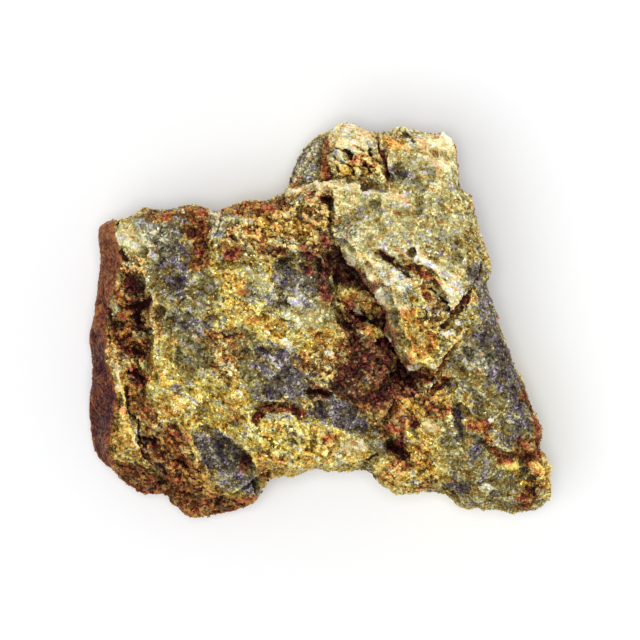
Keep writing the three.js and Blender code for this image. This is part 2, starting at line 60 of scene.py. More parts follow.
# The best face is drawn from above in drawing units, with x to the right and y down. The chunk's box spans
# these units, and the picture is square.
DRAWN_LEFT, DRAWN_RIGHT = 88, 551
DRAWN_MIDDLE_Y = 319
PICTURE_MIDDLE = (320, 320)
PICTURE_WIDTH = 640
LOW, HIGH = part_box(NODE)
UNIT = (HIGH.x - LOW.x) / (DRAWN_RIGHT - DRAWN_LEFT)


def place(points):
    """Drawing units to metres on the resting plane, as an array of x and y."""
    drawn = np.array(points, float).reshape(-1, 2)
    middle = np.array([(DRAWN_LEFT + DRAWN_RIGHT) / 2, DRAWN_MIDDLE_Y])
    return (drawn - middle) * [UNIT, -UNIT]


# Repeatable noise

# Large odd numbers that stir a cell's x, y, z and salt together, and (shift, factor) pairs that stir the sum again
STIR = (374761393, 668265263, 1442695041, 974634777)
STIR_AGAIN = ((13, 1274126177), (16, 668265263))
WORD, DROPPED_BITS = 0xFFFFFFFF, 8


def lattice_number(cells, salt):
    """A repeatable number from 0 to 1 for each whole-number cell."""
    parts = [cells[..., i].astype(np.int64) for i in range(3)] + [salt]
    stirred = sum(part * factor for part, factor in zip(parts, STIR)) & WORD
    for shift, factor in STIR_AGAIN:
        stirred = ((stirred ^ (stirred >> shift)) * factor) & WORD
    return (stirred >> DROPPED_BITS) / (WORD >> DROPPED_BITS)


def lattice_point(cells, salt):
    """Three such numbers for each cell."""
    return np.stack([lattice_number(cells, salt + i) for i in range(3)], axis=1)


def smooth_noise(points, size, salt):
    """Soft hills and hollows from -1 to 1, about one in each cell of that size."""
    scaled = points / size
    cell = np.floor(scaled).astype(np.int64)
    share = ramp(scaled - cell, 0, 1)
    total = np.zeros(len(points))
    for corner in np.ndindex(2, 2, 2):
        weight = np.prod(np.where(corner, share, 1 - share), axis=1)
        total += weight * lattice_number(cell + corner, salt)
    return 2 * total - 1


def facets(points, size, tilt, salt):
    """Broken flat facets from about -1 to 1: each point takes the height and lean of its nearest cell centre."""
    scaled = points / size
    base = np.floor(scaled).astype(np.int64)
    nearest = np.full(len(points), np.inf)
    rise = np.zeros(len(points))
    for step in np.ndindex(3, 3, 3):
        cell = base + np.array(step) - 1
        centre = cell + lattice_point(cell, salt)
        away = scaled - centre
        distance = (away ** 2).sum(axis=1)
        closer = distance < nearest
        nearest[closer] = distance[closer]
        lean = lattice_point(cell[closer], salt + 4) * 2 - 1
        height = lattice_number(cell[closer], salt + 3) * 2 - 1
        rise[closer] = (1 - tilt) * height + 2 * tilt * (lean * away[closer]).sum(axis=1)
    return rise


def ramp(value, low, high):
    """0 below low, 1 above high and a smooth step between."""
    share = np.clip((value - low) / (high - low), 0, 1)
    return share * share * (3 - 2 * share)


def beside_line(points, line):
    """How far each x and y is from a line in drawing units, and how far to the right of its nearest stretch."""
    corners = place(line)
    nearest, side = np.full(len(points), np.inf), np.zeros(len(points))
    for start, end in zip(corners[:-1], corners[1:]):
        step, away = end - start, points - start
        share = np.clip((away @ step) / (step @ step), 0, 1)
        distance = np.linalg.norm(away - share[:, None] * step, axis=1)
        across = (step[1] * away[:, 0] - step[0] * away[:, 1]) / np.linalg.norm(step)
        side = np.where(distance < nearest, across, side)
        nearest = np.minimum(nearest, distance)
    return nearest / UNIT, side / UNIT


# Stains on the best face, some of them with painted highlights or painted shade, as strokes of [half-width, (x, y), (x,
# y), ...] in drawing units
STAINS = {
    "gold": [
        [12, (226, 272), (240, 280), (232, 300)], [8, (256, 280), (272, 276)], [14, (232, 312), (256, 316)],
        [12, (262, 326), (282, 330)], [10, (300, 348), (324, 342)], [16, (158, 392), (190, 404), (226, 398)],
        [14, (176, 418), (206, 414), (238, 412)], [9, (150, 378), (164, 366), (160, 346)], [9, (246, 432), (252, 448)],
        [17, (266, 434), (296, 438), (340, 446)], [12, (270, 460), (310, 464), (352, 454)], [9, (384, 470), (408, 478)],
        [12, (420, 464), (434, 470)], [9, (410, 436), (426, 444)], [6, (120, 372), (122, 392)],
        [10, (124, 418), (126, 436), (128, 450)], [6, (534, 464), (542, 468)], [7, (222, 492), (238, 494)],
        [6, (250, 472), (258, 476)], [9, (398, 298), (410, 300)], [7, (344, 291), (366, 294)],
        [12, (414, 320), (426, 342), (418, 354)], [6, (440, 396), (444, 398)], [2, (180, 424), (198, 450), (208, 474)],
        [8, (374, 266), (376, 274)], [7, (262, 232), (300, 226)], [5, (526, 482), (530, 486)],
        [6, (504, 461), (510, 466)],
    ],
    "rust": [
        [9, (228, 214), (258, 220), (318, 216)], [9, (240, 236), (286, 232), (318, 228)],
        [9, (222, 346), (232, 358), (226, 368)], [8, (306, 362), (332, 366), (340, 352)],
        [5, (392, 144), (404, 140), (416, 142)], [12, (340, 160), (364, 158), (356, 176)],
        [7, (304, 192), (324, 196)], [7, (150, 306), (156, 330)], [8, (112, 344), (116, 360)],
        [9, (372, 412), (390, 400)], [8, (408, 402), (432, 404)], [7, (392, 470), (408, 460)],
        [8, (182, 470), (204, 470)], [7, (132, 268), (138, 268)], [5, (494, 446), (486, 440)],
        [6, (540, 478), (546, 486)], [8, (418, 268), (430, 274)], [7, (360, 360), (372, 372)],
        [6, (288, 464), (270, 470)], [5, (432, 480), (420, 486)], [8, (156, 426), (170, 436)],
        [6, (424, 292), (434, 304), (434, 314)], [5, (112, 461), (126, 465), (138, 467)],
    ],
    "umber": [
        [7, (232, 206), (258, 211), (280, 206)], [9, (195, 226), (200, 240), (200, 258)],
        [6, (150, 212), (168, 214)], [7, (188, 211), (202, 211)], [5, (232, 254), (240, 252)],
        [4, (262, 250), (284, 252)], [7, (136, 386), (142, 400), (150, 412)], [10, (180, 462), (190, 478)],
        [7, (529, 398), (537, 422), (540, 448)], [8, (522, 446), (538, 462)], [9, (400, 404), (420, 408), (436, 404)],
        [9, (362, 400), (382, 402), (398, 412)], [5, (394, 448), (404, 456), (408, 466)],
        [4, (325, 142), (324, 162), (326, 178)], [2, (376, 133), (381, 146), (384, 164), (388, 184)],
        [4, (292, 184), (296, 188)], [3, (380, 254), (390, 262)], [4, (408, 268), (418, 274), (430, 280)],
        [10, (122, 300), (120, 324), (126, 342)], [8, (128, 350), (142, 352)], [7, (134, 374), (140, 380)],
        [9, (112, 473), (130, 481), (152, 490)], [12, (152, 444), (166, 456), (176, 440)],
        [13, (178, 480), (192, 494), (206, 496)], [7, (180, 506), (206, 510), (250, 502)],
        [3, (256, 420), (266, 407), (284, 406), (302, 411)],
        [2, (422, 290), (430, 302), (432, 312)], [2, (466, 300), (452, 314), (442, 326)],
        [2, (456, 342), (446, 358), (440, 366)], [6, (430, 386), (444, 378)], [2, (390, 263), (402, 272)],
        [4, (500, 458), (516, 454), (526, 462)], [7, (522, 500), (534, 490), (545, 480)], [3, (484, 434), (494, 452)],
        [4, (410, 424), (414, 424)], [6, (384, 430), (398, 424)], [5, (470, 426), (484, 424)],
        [4, (264, 466), (262, 474)], [3, (322, 436), (334, 438)], [6, (350, 304), (368, 308)],
        [5, (364, 332), (374, 330)], [4, (536, 410), (538, 434)], [3, (208, 333), (214, 340)],
        [2, (226, 339), (240, 336)], [4, (290, 186), (294, 180)], [5, (414, 378), (430, 376)],
    ],
    "olive": [
        [14, (160, 272), (164, 300), (166, 330)], [16, (192, 308), (194, 340), (190, 378)],
        [10, (204, 284), (212, 300)], [12, (246, 344), (256, 372), (254, 396)], [10, (318, 306), (326, 324)],
        [12, (464, 366), (486, 392), (500, 414)], [16, (462, 450), (484, 460), (508, 484)],
        [12, (466, 486), (492, 492)], [12, (486, 404), (520, 420)], [10, (376, 446), (384, 458)],
        [8, (470, 276), (462, 286)], [12, (486, 312), (492, 330)], [8, (348, 430), (366, 438)],
        [8, (416, 178), (424, 184)], [9, (150, 352), (168, 384)],
        [9, (456, 234), (470, 244)], [12, (414, 200), (420, 236)], [8, (204, 372), (206, 384)],
    ],
    "slate": [
        [4, (292, 176), (298, 184)], [9, (162, 246), (176, 256)],
        [7, (168, 226), (176, 234)], [7, (178, 278), (180, 292)], [6, (184, 322), (206, 330)],
        [9, (284, 276), (310, 284)], [5, (260, 292), (270, 298)], [9, (398, 168), (400, 176)],
        [12, (216, 444), (230, 462), (236, 474)], [8, (250, 486), (252, 494)], [13, (276, 362), (292, 378), (280, 392)],
        [10, (322, 398), (344, 412), (350, 424)], [11, (492, 350), (508, 372), (516, 392)],
        [6, (452, 484), (458, 488)], [4, (456, 410), (458, 434)], [6, (476, 268), (474, 276)],
        [5, (504, 438), (516, 440)], [5, (478, 446), (474, 452)],
        [10, (486, 334), (500, 360), (514, 392), (522, 420)], [8, (486, 296), (490, 320)], [6, (470, 348), (478, 358)],
        [7, (172, 214), (180, 218)], [6, (142, 226), (146, 216)],
    ],
    # Dark maroon, and painted shade in the hollow under the cliff and in pits and gaps
    "maroon_and_hollow_shade": [
        [9, (338, 258), (346, 268), (354, 280)], [6, (322, 264), (324, 290), (332, 300)],
        [9, (358, 272), (368, 284), (378, 300)], [8, (384, 312), (388, 334), (394, 352)],
        [13, (352, 330), (362, 352), (354, 374)], [13, (378, 350), (386, 376), (380, 398)],
        [9, (402, 360), (408, 376), (404, 390)], [6, (350, 314), (362, 316)], [6, (304, 252), (318, 256)],
        [4, (302, 268), (310, 272)], [4, (400, 436), (403, 456)],
        [7, (340, 388), (356, 396)], [5, (312, 390), (324, 394)], [7, (132, 282), (136, 288)],
        [5, (132, 304), (146, 303)], [4, (137, 312), (140, 328)], [4, (132, 372), (140, 380)],
        [3, (144, 437), (156, 438)], [4, (162, 466), (168, 472)], [4, (150, 486), (160, 484)],
        [4, (322, 200), (329, 201)], [4, (244, 466), (246, 458)], [4, (324, 238), (328, 246)],
    ],
    "cream": [
        [12, (340, 132), (366, 134)], [9, (346, 144), (360, 142)], [11, (398, 154), (432, 140), (446, 146)],
        [14, (432, 166), (444, 184)], [14, (350, 204), (376, 200), (404, 204)],
        [18, (372, 222), (396, 226), (410, 234)], [10, (372, 248), (400, 246)], [14, (438, 206), (450, 222)],
        [8, (128, 234), (138, 248)], [4, (122, 230), (132, 226)], [5, (350, 250), (358, 257)],
        [6, (386, 300), (398, 296)], [8, (448, 270), (456, 264)], [9, (446, 290), (454, 296)],
        [6, (264, 284), (258, 278)], [8, (384, 266), (378, 286)], [8, (396, 306), (404, 316)],
        [8, (294, 318), (314, 320)], [6, (340, 450), (350, 446)], [4, (232, 222), (238, 220)],
        [5, (342, 160), (334, 156)],
    ],
    "pewter": [
        [13, (304, 142), (298, 158), (298, 174)], [8, (348, 232), (376, 242)], [6, (250, 288), (266, 294)],
        [7, (290, 300), (308, 306)], [6, (298, 314), (316, 316)], [7, (212, 214), (222, 230)],
        [9, (150, 232), (160, 244)], [7, (470, 348), (482, 362)], [4, (396, 178), (402, 182)],
    ],
    "amber": [
        [10, (122, 416), (128, 434), (130, 452)], [7, (230, 280), (240, 288)], [6, (242, 310), (250, 316)],
        [9, (412, 318), (422, 334), (418, 350)], [6, (232, 402), (240, 414)], [3, (344, 291), (370, 296)],
        [5, (368, 330), (376, 334)], [4, (362, 304), (372, 310)], [7, (262, 458), (282, 466)],
        [5, (318, 440), (334, 448)], [5, (382, 476), (392, 484)], [6, (540, 468), (545, 480)],
        [7, (420, 446), (424, 462)], [5, (204, 480), (210, 490)], [6, (166, 402), (176, 410)],
        [5, (318, 338), (328, 346)], [5, (262, 222), (274, 226)], [4, (296, 228), (306, 234)],
        [5, (386, 142), (400, 146)], [4, (340, 174), (350, 170)], [4, (154, 362), (158, 372)],
        [5, (270, 328), (278, 334)], [4, (436, 394), (442, 400)], [5, (408, 404), (418, 410)],
    ],
    # Pale stone, and painted highlights along lit edges such as the tower's lip, the white edge and thin glint strips
    "pale_and_lit_edges": [
        [7, (334, 136), (350, 130), (370, 134)], [5, (344, 146), (360, 146)], [8, (424, 142), (446, 146)],
        [6, (430, 160), (446, 166)], [7, (124, 238), (138, 245)], [7, (446, 288), (452, 298)],
        [3.5, (424, 264), (436, 271), (454, 278)], [4, (288, 193), (306, 187), (330, 185), (356, 190)],
        [5, (372, 266), (376, 272)], [4, (396, 300), (404, 306)], [4, (382, 290), (386, 298)],
        [2, (118, 366), (120, 388)], [1.5, (135, 438), (138, 446)], [4, (346, 444), (354, 448)],
        [4, (426, 424), (434, 428)], [4, (112, 302), (116, 312)],
        [4, (388, 196), (408, 200)], [5, (408, 254), (420, 256)], [3, (386, 133), (400, 132)],
    ],
    # White spots, most of them painted highlights: glints and the lit tops of chips and of the boulder
    "white_and_glints": [
        [7, (387, 279), (396, 277), (402, 285)], [3, (379, 289), (385, 298)], [2.5, (424, 262), (434, 269)],
        [2.5, (440, 275), (450, 277)], [2.5, (447, 290), (450, 296)], [3, (285, 340), (290, 347)],
        [3, (292, 301), (300, 306)], [3, (360, 441), (363, 448)], [0.7, (132, 419), (137, 430), (140, 444)],
        [2, (358, 311), (359, 312)], [2, (367, 321), (369, 324)], [2, (391, 335), (393, 337)],
        [2, (412, 364), (414, 366)], [2, (431, 366), (434, 367)], [2, (440, 334), (452, 332)],
        [2, (489, 419), (490, 420)], [2.5, (508, 420), (510, 421)], [2, (479, 487), (484, 484), (490, 487)],
        [2, (126, 240), (134, 246)], [1.5, (184, 210), (184, 213)], [2, (326, 353), (332, 354)],
        [2, (340, 131), (350, 128)], [3, (448, 138), (448, 144)], [2, (239, 391), (241, 393)],
        [1.5, (195, 336), (197, 336)], [2, (428, 385), (432, 382)], [2, (297, 165), (300, 170)],
        [2, (306, 150), (309, 156)], [2, (292, 176), (294, 180)], [2, (302, 140), (304, 143)],
        [2, (352, 256), (356, 260)], [2, (455, 322), (457, 324)], [1.5, (278, 240), (281, 242)],
    ],
}
# How wide a stroke's soft edge is, and how far it wanders, against its half-width, and the most of either
PLAIN_EDGE, PLAIN_WANDER = 1.4, 0.6
EDGE_OF = {"pale_and_lit_edges": 0.5, "white_and_glints": 0.5, "maroon_and_hollow_shade": 1.0}
WANDER_OF = {"pale_and_lit_edges": 0.25, "white_and_glints": 0.25, "amber": 0.4}
MOST_EDGE, MOST_WANDER = 22, 8
# The soft noise that strokes wander by, as (size in mm, share, salt)
WANDER_NOISE = [(3.2, 1, 61), (1.3, 0.6, 71)]

# Soft patches of stain on the sides and the back, as (size in mm, salt), and the noise over which they fade in
SIDE_PATCHES = {"gold": (11, 81), "rust": (13, 82), "olive": (12, 83), "slate": (9, 84), "umber": (10, 85)}
PATCH_NOISE = (-0.1, 0.5)

# Places that are duller or brighter than their stain, partly painted light and painted shade on slopes, edges and
# hollows and partly their own tone, as [change in tone, half-width, line ...]
TONE_AND_LIGHT_STROKES = {
    "shaded right slope": [-0.2, 9, (484, 330), (504, 366), (522, 404)],
    "brown edge of the right slope": [-0.2, 8, (527, 420), (533, 450)],
    "dark brown foot": [-0.2, 9, (536, 484), (545, 486)],
    "lower lump in the hollow": [-0.2, 8, (364, 322), (374, 334)],
    "lower tip of the plate": [-0.15, 9, (426, 324), (434, 344)],
    "left groove's dark side": [-0.14, 8, (112, 322), (128, 330)],
    "left groove": [-0.1, 9, (126, 300), (132, 336)],
    "purple lower part of the brown side": [-0.14, 14, (96, 330), (98, 420)],
    "indigo end of the foot": [-0.14, 9, (436, 484), (454, 488)],
    "dark red at the top edge": [-0.14, 8, (188, 208), (200, 214)],
    "foot of the rust patch": [-0.1, 8, (190, 250), (208, 256)],
    "dark floor of the hollow": [-0.14, 9, (346, 350), (354, 372), (350, 394)],
    "brown mix beside the hollow": [-0.14, 10, (318, 368), (330, 378)],
    "brown ground under the hollow": [-0.14, 9, (364, 406), (384, 412)],
    "dull band right of the nose": [-0.14, 9, (346, 424), (368, 434)],
    "grey side of the tower": [-0.14, 9, (300, 145), (296, 170)],
    "brown lobe": [-0.1, 11, (147, 432), (152, 452), (170, 470)],
    "indigo patch above the nose": [-0.1, 8, (288, 368), (304, 376)],
    "dark spots right on the plate": [-0.1, 8, (426, 209), (439, 211)],
    "rusty ground under the tower's lip": [-0.1, 9, (284, 200), (300, 202)],
    "pale patch by the white glint": [0.1, 10, (284, 350), (300, 346)],
    "bright lower rim of the nose": [0.1, 9, (272, 470), (312, 466), (354, 459)],
    "top of the nose": [0.1, 8, (300, 438), (314, 446)],
    "ground under the white edge": [0.1, 7, (424, 276), (436, 284)],
    "tower's brown strip": [0.1, 6, (326, 144), (326, 176)],
    "pale band across the tower": [0.1, 8, (400, 154), (430, 152)],
    "bright corner of the tower": [0.15, 10, (440, 140), (448, 160)],
    "bright chips on the tower": [0.15, 10, (340, 162), (354, 172), (370, 170)],
    "white chip under the boulder": [0.1, 6, (382, 290), (388, 300)],
    "bright gold in the middle": [0.1, 9, (264, 324), (278, 332)],
    "pale left half of the plate": [0.1, 10, (348, 210), (356, 230), (374, 236)],
    "yellow ground above the lobe": [0.1, 9, (146, 408), (188, 406)],
    "gold under the indigo recess": [0.1, 8, (226, 484), (236, 492)],
    "upper lump in the hollow": [0.15, 8, (360, 302), (374, 312)],
    "green-white chips in the valley": [0.15, 7, (212, 216), (218, 232)],
}
TONE_AND_LIGHT_WANDER = 5

# The right-hand edge of the smooth brown side that shows along the left, and where the side fades in across it
FLANK_EDGE = [
    (115, 205), (115, 222), (118, 236), (122, 248), (125, 262), (120, 275), (118, 290), (112, 300), (108, 315),
    (107, 330), (108, 345), (107, 358), (113, 372), (117, 385), (120, 398), (117, 408), (115, 420), (112, 435),
    (111, 450), (113, 460), (108, 470), (90, 480),
]
FLANK_SEAM = (-1 * UNIT, 2 * UNIT)
# The rough brown wall under the sparkling facet, as [half-width, line ...]
BROWN_WALL = [13, (108, 469), (126, 477), (146, 488), (164, 497)]
BROWN_WALL_EDGE, BROWN_WALL_WANDER = 6, 4

# Cracks and pits of the best face, as [depth in mm, half-width in drawing units, line ...]. A raised lip has a
# negative depth. Each is painted darker with its depth, as painted shade with a dark stain, and one of at least
# the dark depth is as dark as they get. Floor and edge are shares of a half-width.
DARK_DEPTH = 0.45
CRACK_FLOOR, CRACK_EDGE, CRACK_WANDER = 0.75, 0.6, 2.5
CRACKS = {
    "tower split": [0.3, 1.5, (374, 131), (380, 140), (381, 152), (384, 166), (389, 186)],
    "foot of the tower split": [0.2, 2.4, (384, 166), (388, 182)],
    "tower lip": [-0.4, 2.2, (287, 195), (305, 187), (330, 184), (366, 187)],
    "tower pit": [0.2, 6, (397, 169), (402, 177)],
    "tower's small pit": [0.4, 2.2, (343, 153), (350, 154), (351, 160)],
    "tower's left slot": [0.35, 1.5, (331, 153), (339, 152)],
    "tower's middle pit": [0.4, 2, (348, 168), (352, 176)],
    "tower's lower pit": [0.4, 1.8, (336, 170), (340, 176)],
    "tower's right pit": [0.4, 2, (370, 148), (372, 156)],
    "tower's far pit": [0.4, 1.6, (362, 166), (368, 172)],
    "tower's upper gap": [0.3, 1.3, (344, 163), (356, 160), (364, 156)],
    "tower's lower gap": [0.3, 1.3, (341, 180), (352, 178), (362, 178), (374, 172)],
    "tower's left gap": [0.3, 1.4, (334, 160), (342, 166), (352, 169)],
    "tower's right gap": [0.3, 1.4, (352, 168), (360, 171), (370, 167)],
    "tower's top gap": [0.3, 1.3, (358, 146), (364, 151), (372, 149)],
    "pit in the lip": [0.4, 2.6, (362, 186), (368, 186)],
    "pit at the tower's top": [0.3, 1.8, (404, 133), (414, 142)],
    "corner pit": [0.4, 1.9, (322, 200), (328, 201)],
    "long upright crack": [0.3, 1.5, (331, 190), (331, 205), (330, 222), (331, 240)],
    "round hole": [0.8, 2.4, (410, 252), (411, 253)],
    "right slanting crack": [0.5, 1.6, (481, 264), (478, 282), (470, 292), (462, 302), (450, 315), (440, 328)],
    "branch of the right crack": [0.4, 1, (468, 298), (463, 306), (462, 313)],
    "lower slanting crack": [0.5, 1.6, (457, 340), (448, 354), (440, 366)],
    "head of the dark gap": [0.25, 3.2, (381, 256), (389, 261)],
    "dark gap": [0.3, 1.4, (386, 261), (394, 268), (403, 275), (407, 280)],
    "thin crack in the boulder": [0.3, 0.9, (376, 283), (386, 288), (391, 292)],
    "crack left of the cream facet": [0.4, 1.3, (430, 287), (437, 296), (446, 308), (449, 314)],
    "shoulder crevice": [0.2, 2, (424, 394), (438, 386), (452, 378)],
    "black slit": [0.4, 1.4, (368, 459), (377, 453)],
    "notch": [0.25, 1.8, (400, 434), (402, 446), (404, 459)],
    "left edge crack": [0.35, 1.2, (127, 385), (131, 402), (137, 420), (141, 440), (146, 458)],
    "left groove's top notch": [0.35, 1.5, (121, 252), (126, 262)],
    "left groove's upper floor": [0.2, 6, (130, 281), (138, 286)],
    "left groove's dark bar": [0.4, 3, (129, 305), (140, 307), (150, 302)],
    "left groove's stem": [0.3, 2.5, (138, 312), (139, 326)],
    "left groove's foot": [0.3, 2.5, (142, 330), (149, 331)],
    "left groove's side pit": [0.2, 3, (112, 322), (118, 326)],
    "left groove's purple floor": [0.2, 4, (134, 350), (144, 356)],
    "left groove's black pit": [0.4, 3, (133, 372), (140, 379)],
    "maroon crevice": [0.22, 1.2, (251, 421), (258, 412), (264, 406), (276, 405)],
    "end of the maroon crevice": [0.12, 1.2, (276, 405), (290, 407), (302, 412)],
    "black gap by the lobe": [0.4, 1.8, (145, 437), (156, 438)],
    "gap above the lobe": [0.3, 2.5, (162, 465), (168, 474)],
    "upper purple pit": [0.2, 3, (174, 241), (178, 243)],
    "lower purple pit": [0.2, 3, (173, 278), (180, 280)],
    "nick in the olive band": [0.4, 1.4, (181, 303), (187, 298)],
    "streak under the gold": [0.3, 1.2, (226, 339), (240, 336)],
    "streak in the olive band": [0.3, 1, (205, 332), (212, 338)],
    "crest over the hollow": [-1.3, 5, (346, 250), (364, 266), (373, 282), (382, 298), (390, 309), (392, 330),
                              (402, 346), (413, 364)],
    "golden ridge": [-0.4, 2.5, (180, 424), (190, 437), (200, 454), (208, 474)],
    "hollow's slit": [0.5, 1.8, (352, 313), (364, 317)],
    "pale rib in the hollow": [-0.3, 1.3, (331, 266), (334, 286), (338, 302), (344, 314)],
    "orange lump": [-0.5, 5, (346, 296), (368, 298)],
    "lower orange lump": [-0.6, 6, (364, 328), (374, 334)],
    "dark streak in the middle": [0.3, 1.2, (282, 321), (292, 322)],
    "dark seam by the indigo": [0.3, 1.6, (308, 388), (326, 394)],
    "nose's upper seam": [0.2, 1.3, (262, 446), (278, 444), (290, 450)],
    "nose's lower seam": [0.2, 1.3, (260, 452), (270, 458), (284, 460)],
    "nose's right seam": [0.2, 1.3, (304, 446), (314, 452), (328, 458)],
    "nose's top seam": [0.15, 1.3, (316, 428), (330, 434), (342, 436)],
    "valley in the rusty band": [0.25, 1.8, (226, 208), (220, 226), (214, 246)],
    "rusty band's first streak": [0.2, 1.6, (246, 212), (266, 220), (284, 224)],
    "rusty band's second streak": [0.2, 1.6, (262, 232), (280, 240), (300, 246)],
    "rusty band's third streak": [0.2, 1.6, (290, 214), (306, 222), (320, 232)],
    "ribbed strip": [0.15, 2, (456, 405), (458, 420), (460, 437)],
    "brown arc": [0.12, 1.2, (480, 440), (490, 452), (502, 456), (520, 456)],
    "foot furrow": [0.2, 1.6, (520, 500), (534, 489), (545, 480)],
    "pale lump": [-0.4, 5, (504, 463), (511, 466)],
    "gold lump": [-0.4, 5, (532, 464), (540, 470)],
}

# Short steps in the best face, as [drop in mm, reach in drawing units, line ...]. The ground drops over a lip on
# either side of the line, is low for a share of the reach on its right, and comes back up over the rest.
SCARP_LIP, SCARP_LOW = 1, 0.3
SCARPS = {
    "left side of the cream facet": [0.2, 7, (432, 288), (438, 297), (446, 308), (450, 313)],
    "white edge": [0.25, 6, (418, 262), (432, 270), (444, 278)],
    "tower's brown side": [0.4, 8, (321, 140), (319, 160), (321, 182)],
    "rubble above the lip": [0.3, 8, (370, 187), (330, 183), (305, 186), (287, 194)],
    "end of the orange lump": [0.4, 8, (340, 300), (356, 312), (372, 318)],
    "edge of the lobe": [0.35, 8, (150, 424), (168, 432), (180, 440)],
}


def stroke_weight(flat, half_width, edge, line):
    """1 along a stroke, fading to 0 over its edge."""
    nearest, _ = beside_line(flat, line)
    return 1 - ramp(nearest, half_width - edge / 2, half_width + edge)


def strokes_weight(flat, edge, strokes):
    """The greatest weight that any of the strokes gives a place."""
    weight = np.zeros(len(flat))
    for half_width, *line in strokes:
        weight = np.maximum(weight, stroke_weight(flat, half_width, edge, line))
    return weight


def wandered(points, reach):
    """The x and y of the points, pushed about so that a straight stroke comes out ragged."""
    wander = sum(share * np.stack([smooth_noise(points, size * MM, salt + i) for i in range(2)], axis=1)
                 for size, share, salt in WANDER_NOISE)
    return points[:, :2] + reach * UNIT * wander


def scarp_drop(flat, drop, reach, line):
    """The drop beside a line, all of it just right of the line and none of it past the reach."""
    nearest, side = beside_line(flat, line)
    back_up = ramp(nearest, reach * SCARP_LOW, reach)
    return drop * ramp(side, -SCARP_LIP, SCARP_LIP) * (1 - back_up)


def stain_weights(points):
    """How much of each stain a place on the best face has, from 0 to 1."""
    wander = wandered(points, 1) - points[:, :2]
    weights = {}
    for name, strokes in STAINS.items():
        weight = np.zeros(len(points))
        for half_width, *line in strokes:
            reach = min(MOST_WANDER, WANDER_OF.get(name, PLAIN_WANDER) * half_width)
            edge = min(MOST_EDGE, EDGE_OF.get(name, PLAIN_EDGE) * half_width)
            flat = points[:, :2] + wander * reach
            weight = np.maximum(weight, stroke_weight(flat, half_width, edge, line))
        weights[name] = weight
    return weights


def tone_and_painted_light(points):
    """How much brighter a place on the best face is painted than its stain makes it: painted light and painted shade,
    and partly its own tone.
    """
    flat = wandered(points, TONE_AND_LIGHT_WANDER)
    change = np.zeros(len(points))
    for amount, half_width, *line in TONE_AND_LIGHT_STROKES.values():
        change += amount * stroke_weight(flat, half_width, half_width, line)
    return change


def side_weights(points):
    """The stains of the sides and the back, which follow soft patches through the rock."""
    weights = {name: np.zeros(len(points)) for name in STAINS}
    for name, (size, salt) in SIDE_PATCHES.items():
        weights[name] = ramp(smooth_noise(points, size * MM, salt), *PATCH_NOISE)
    return weights


# The fine surface of the chunk

# The longest edge on the best face, which turns up by more than the lift, and elsewhere
FACE_EDGE, FACE_LIFT, WALL_EDGE = 0.43 * MM, 0.1, 1.4 * MM
MERGE_DISTANCE = 1e-6
SPLITS = 3
# Points are eased in and then out again a little further, so that the whole doesn't shrink
ROUNDING_PASSES, EASE_IN, EASE_OUT = 8, 0.6, -0.62


def longest_edge(edge):
    """How long an edge may be: short on the best face, longer on the walls and the back."""
    lift = sum(face.normal.z for face in edge.link_faces) / 2
    return FACE_EDGE if lift > FACE_LIFT else WALL_EDGE


def fine_mesh():
    """A copy of the solid, merged and cut into small triangles."""
    work = bmesh.new()
    work.from_mesh(frame["nodes"][NODE].data)
    bmesh.ops.remove_doubles(work, verts=work.verts, dist=MERGE_DISTANCE)
    for _ in range(SPLITS):
        work.normal_update()
        long_edges = [edge for edge in work.edges if edge.calc_length() > longest_edge(edge)]
        bmesh.ops.subdivide_edges(work, edges=long_edges, cuts=1)
        bmesh.ops.triangulate(work, faces=[face for face in work.faces if len(face.verts) > 3])
    mesh = bpy.data.meshes.new("ore")
    work.to_mesh(mesh)
    work.free()
    return mesh


def read(collection, key, width, kind=np.float32):
    values = np.empty(len(collection) * width, kind)
    collection.foreach_get(key, values)
    return values.reshape(-1, width)


def write_attribute(mesh, name, values):
    attribute = mesh.attributes.new(name, "FLOAT", "POINT")
    attribute.data.foreach_set("value", np.asarray(values, np.float32))


def eased(points, edges, passes, pull=0.5):
    """The points after each has moved that share of the way to the mean of its neighbours, a number of times."""
    count = len(points)
    first, second = edges[:, 0], edges[:, 1]
    neighbours = np.bincount(edges.ravel(), minlength=count)[:, None]
    for _ in range(passes):
        total = np.stack([
            np.bincount(first, points[second, i], count) + np.bincount(second, points[first, i], count)
            for i in range(3)], axis=1)
        points = (1 - pull) * points + pull * total / neighbours
    return points


def rounded(points, edges):
    """The points with the sharp corners between them rounded off, and the whole as large as before."""
    for _ in range(ROUNDING_PASSES):
        points = eased(eased(points, edges, 1, EASE_IN), edges, 1, EASE_OUT)
    return points


def sunk(points, normals, edges, passes):
    """How far each point lies below its surroundings, in metres."""
    return ((eased(points, edges, passes) - points) * normals).sum(axis=1)


def vertex_normals(mesh, points):
    """The normals of the mesh once its vertices lie at the points."""
    mesh.vertices.foreach_set("co", points.astype(np.float32).ravel())
    mesh.update()
    return read(mesh.vertex_normals, "vector", 3).astype(float)


# How rough each stain's ground is, against 1 for the plain ore, and how much smoother the brown side is
ROUGHNESS_OF = {"cream": 0.55, "pale_and_lit_edges": 0.5, "white_and_glints": 0.4, "rust": 1.25, "olive": 0.55, "slate": 0.55, "pewter": 0.55}
FLANK_SMOOTHNESS = 0.75
# How far the walls are drawn in, in mm, so that the outline with its grains is the solid's, and how far the smooth
# brown side, which has no grains, comes out
OUTLINE_SHIFT, FLANK_SHIFT = -0.4, 0.25
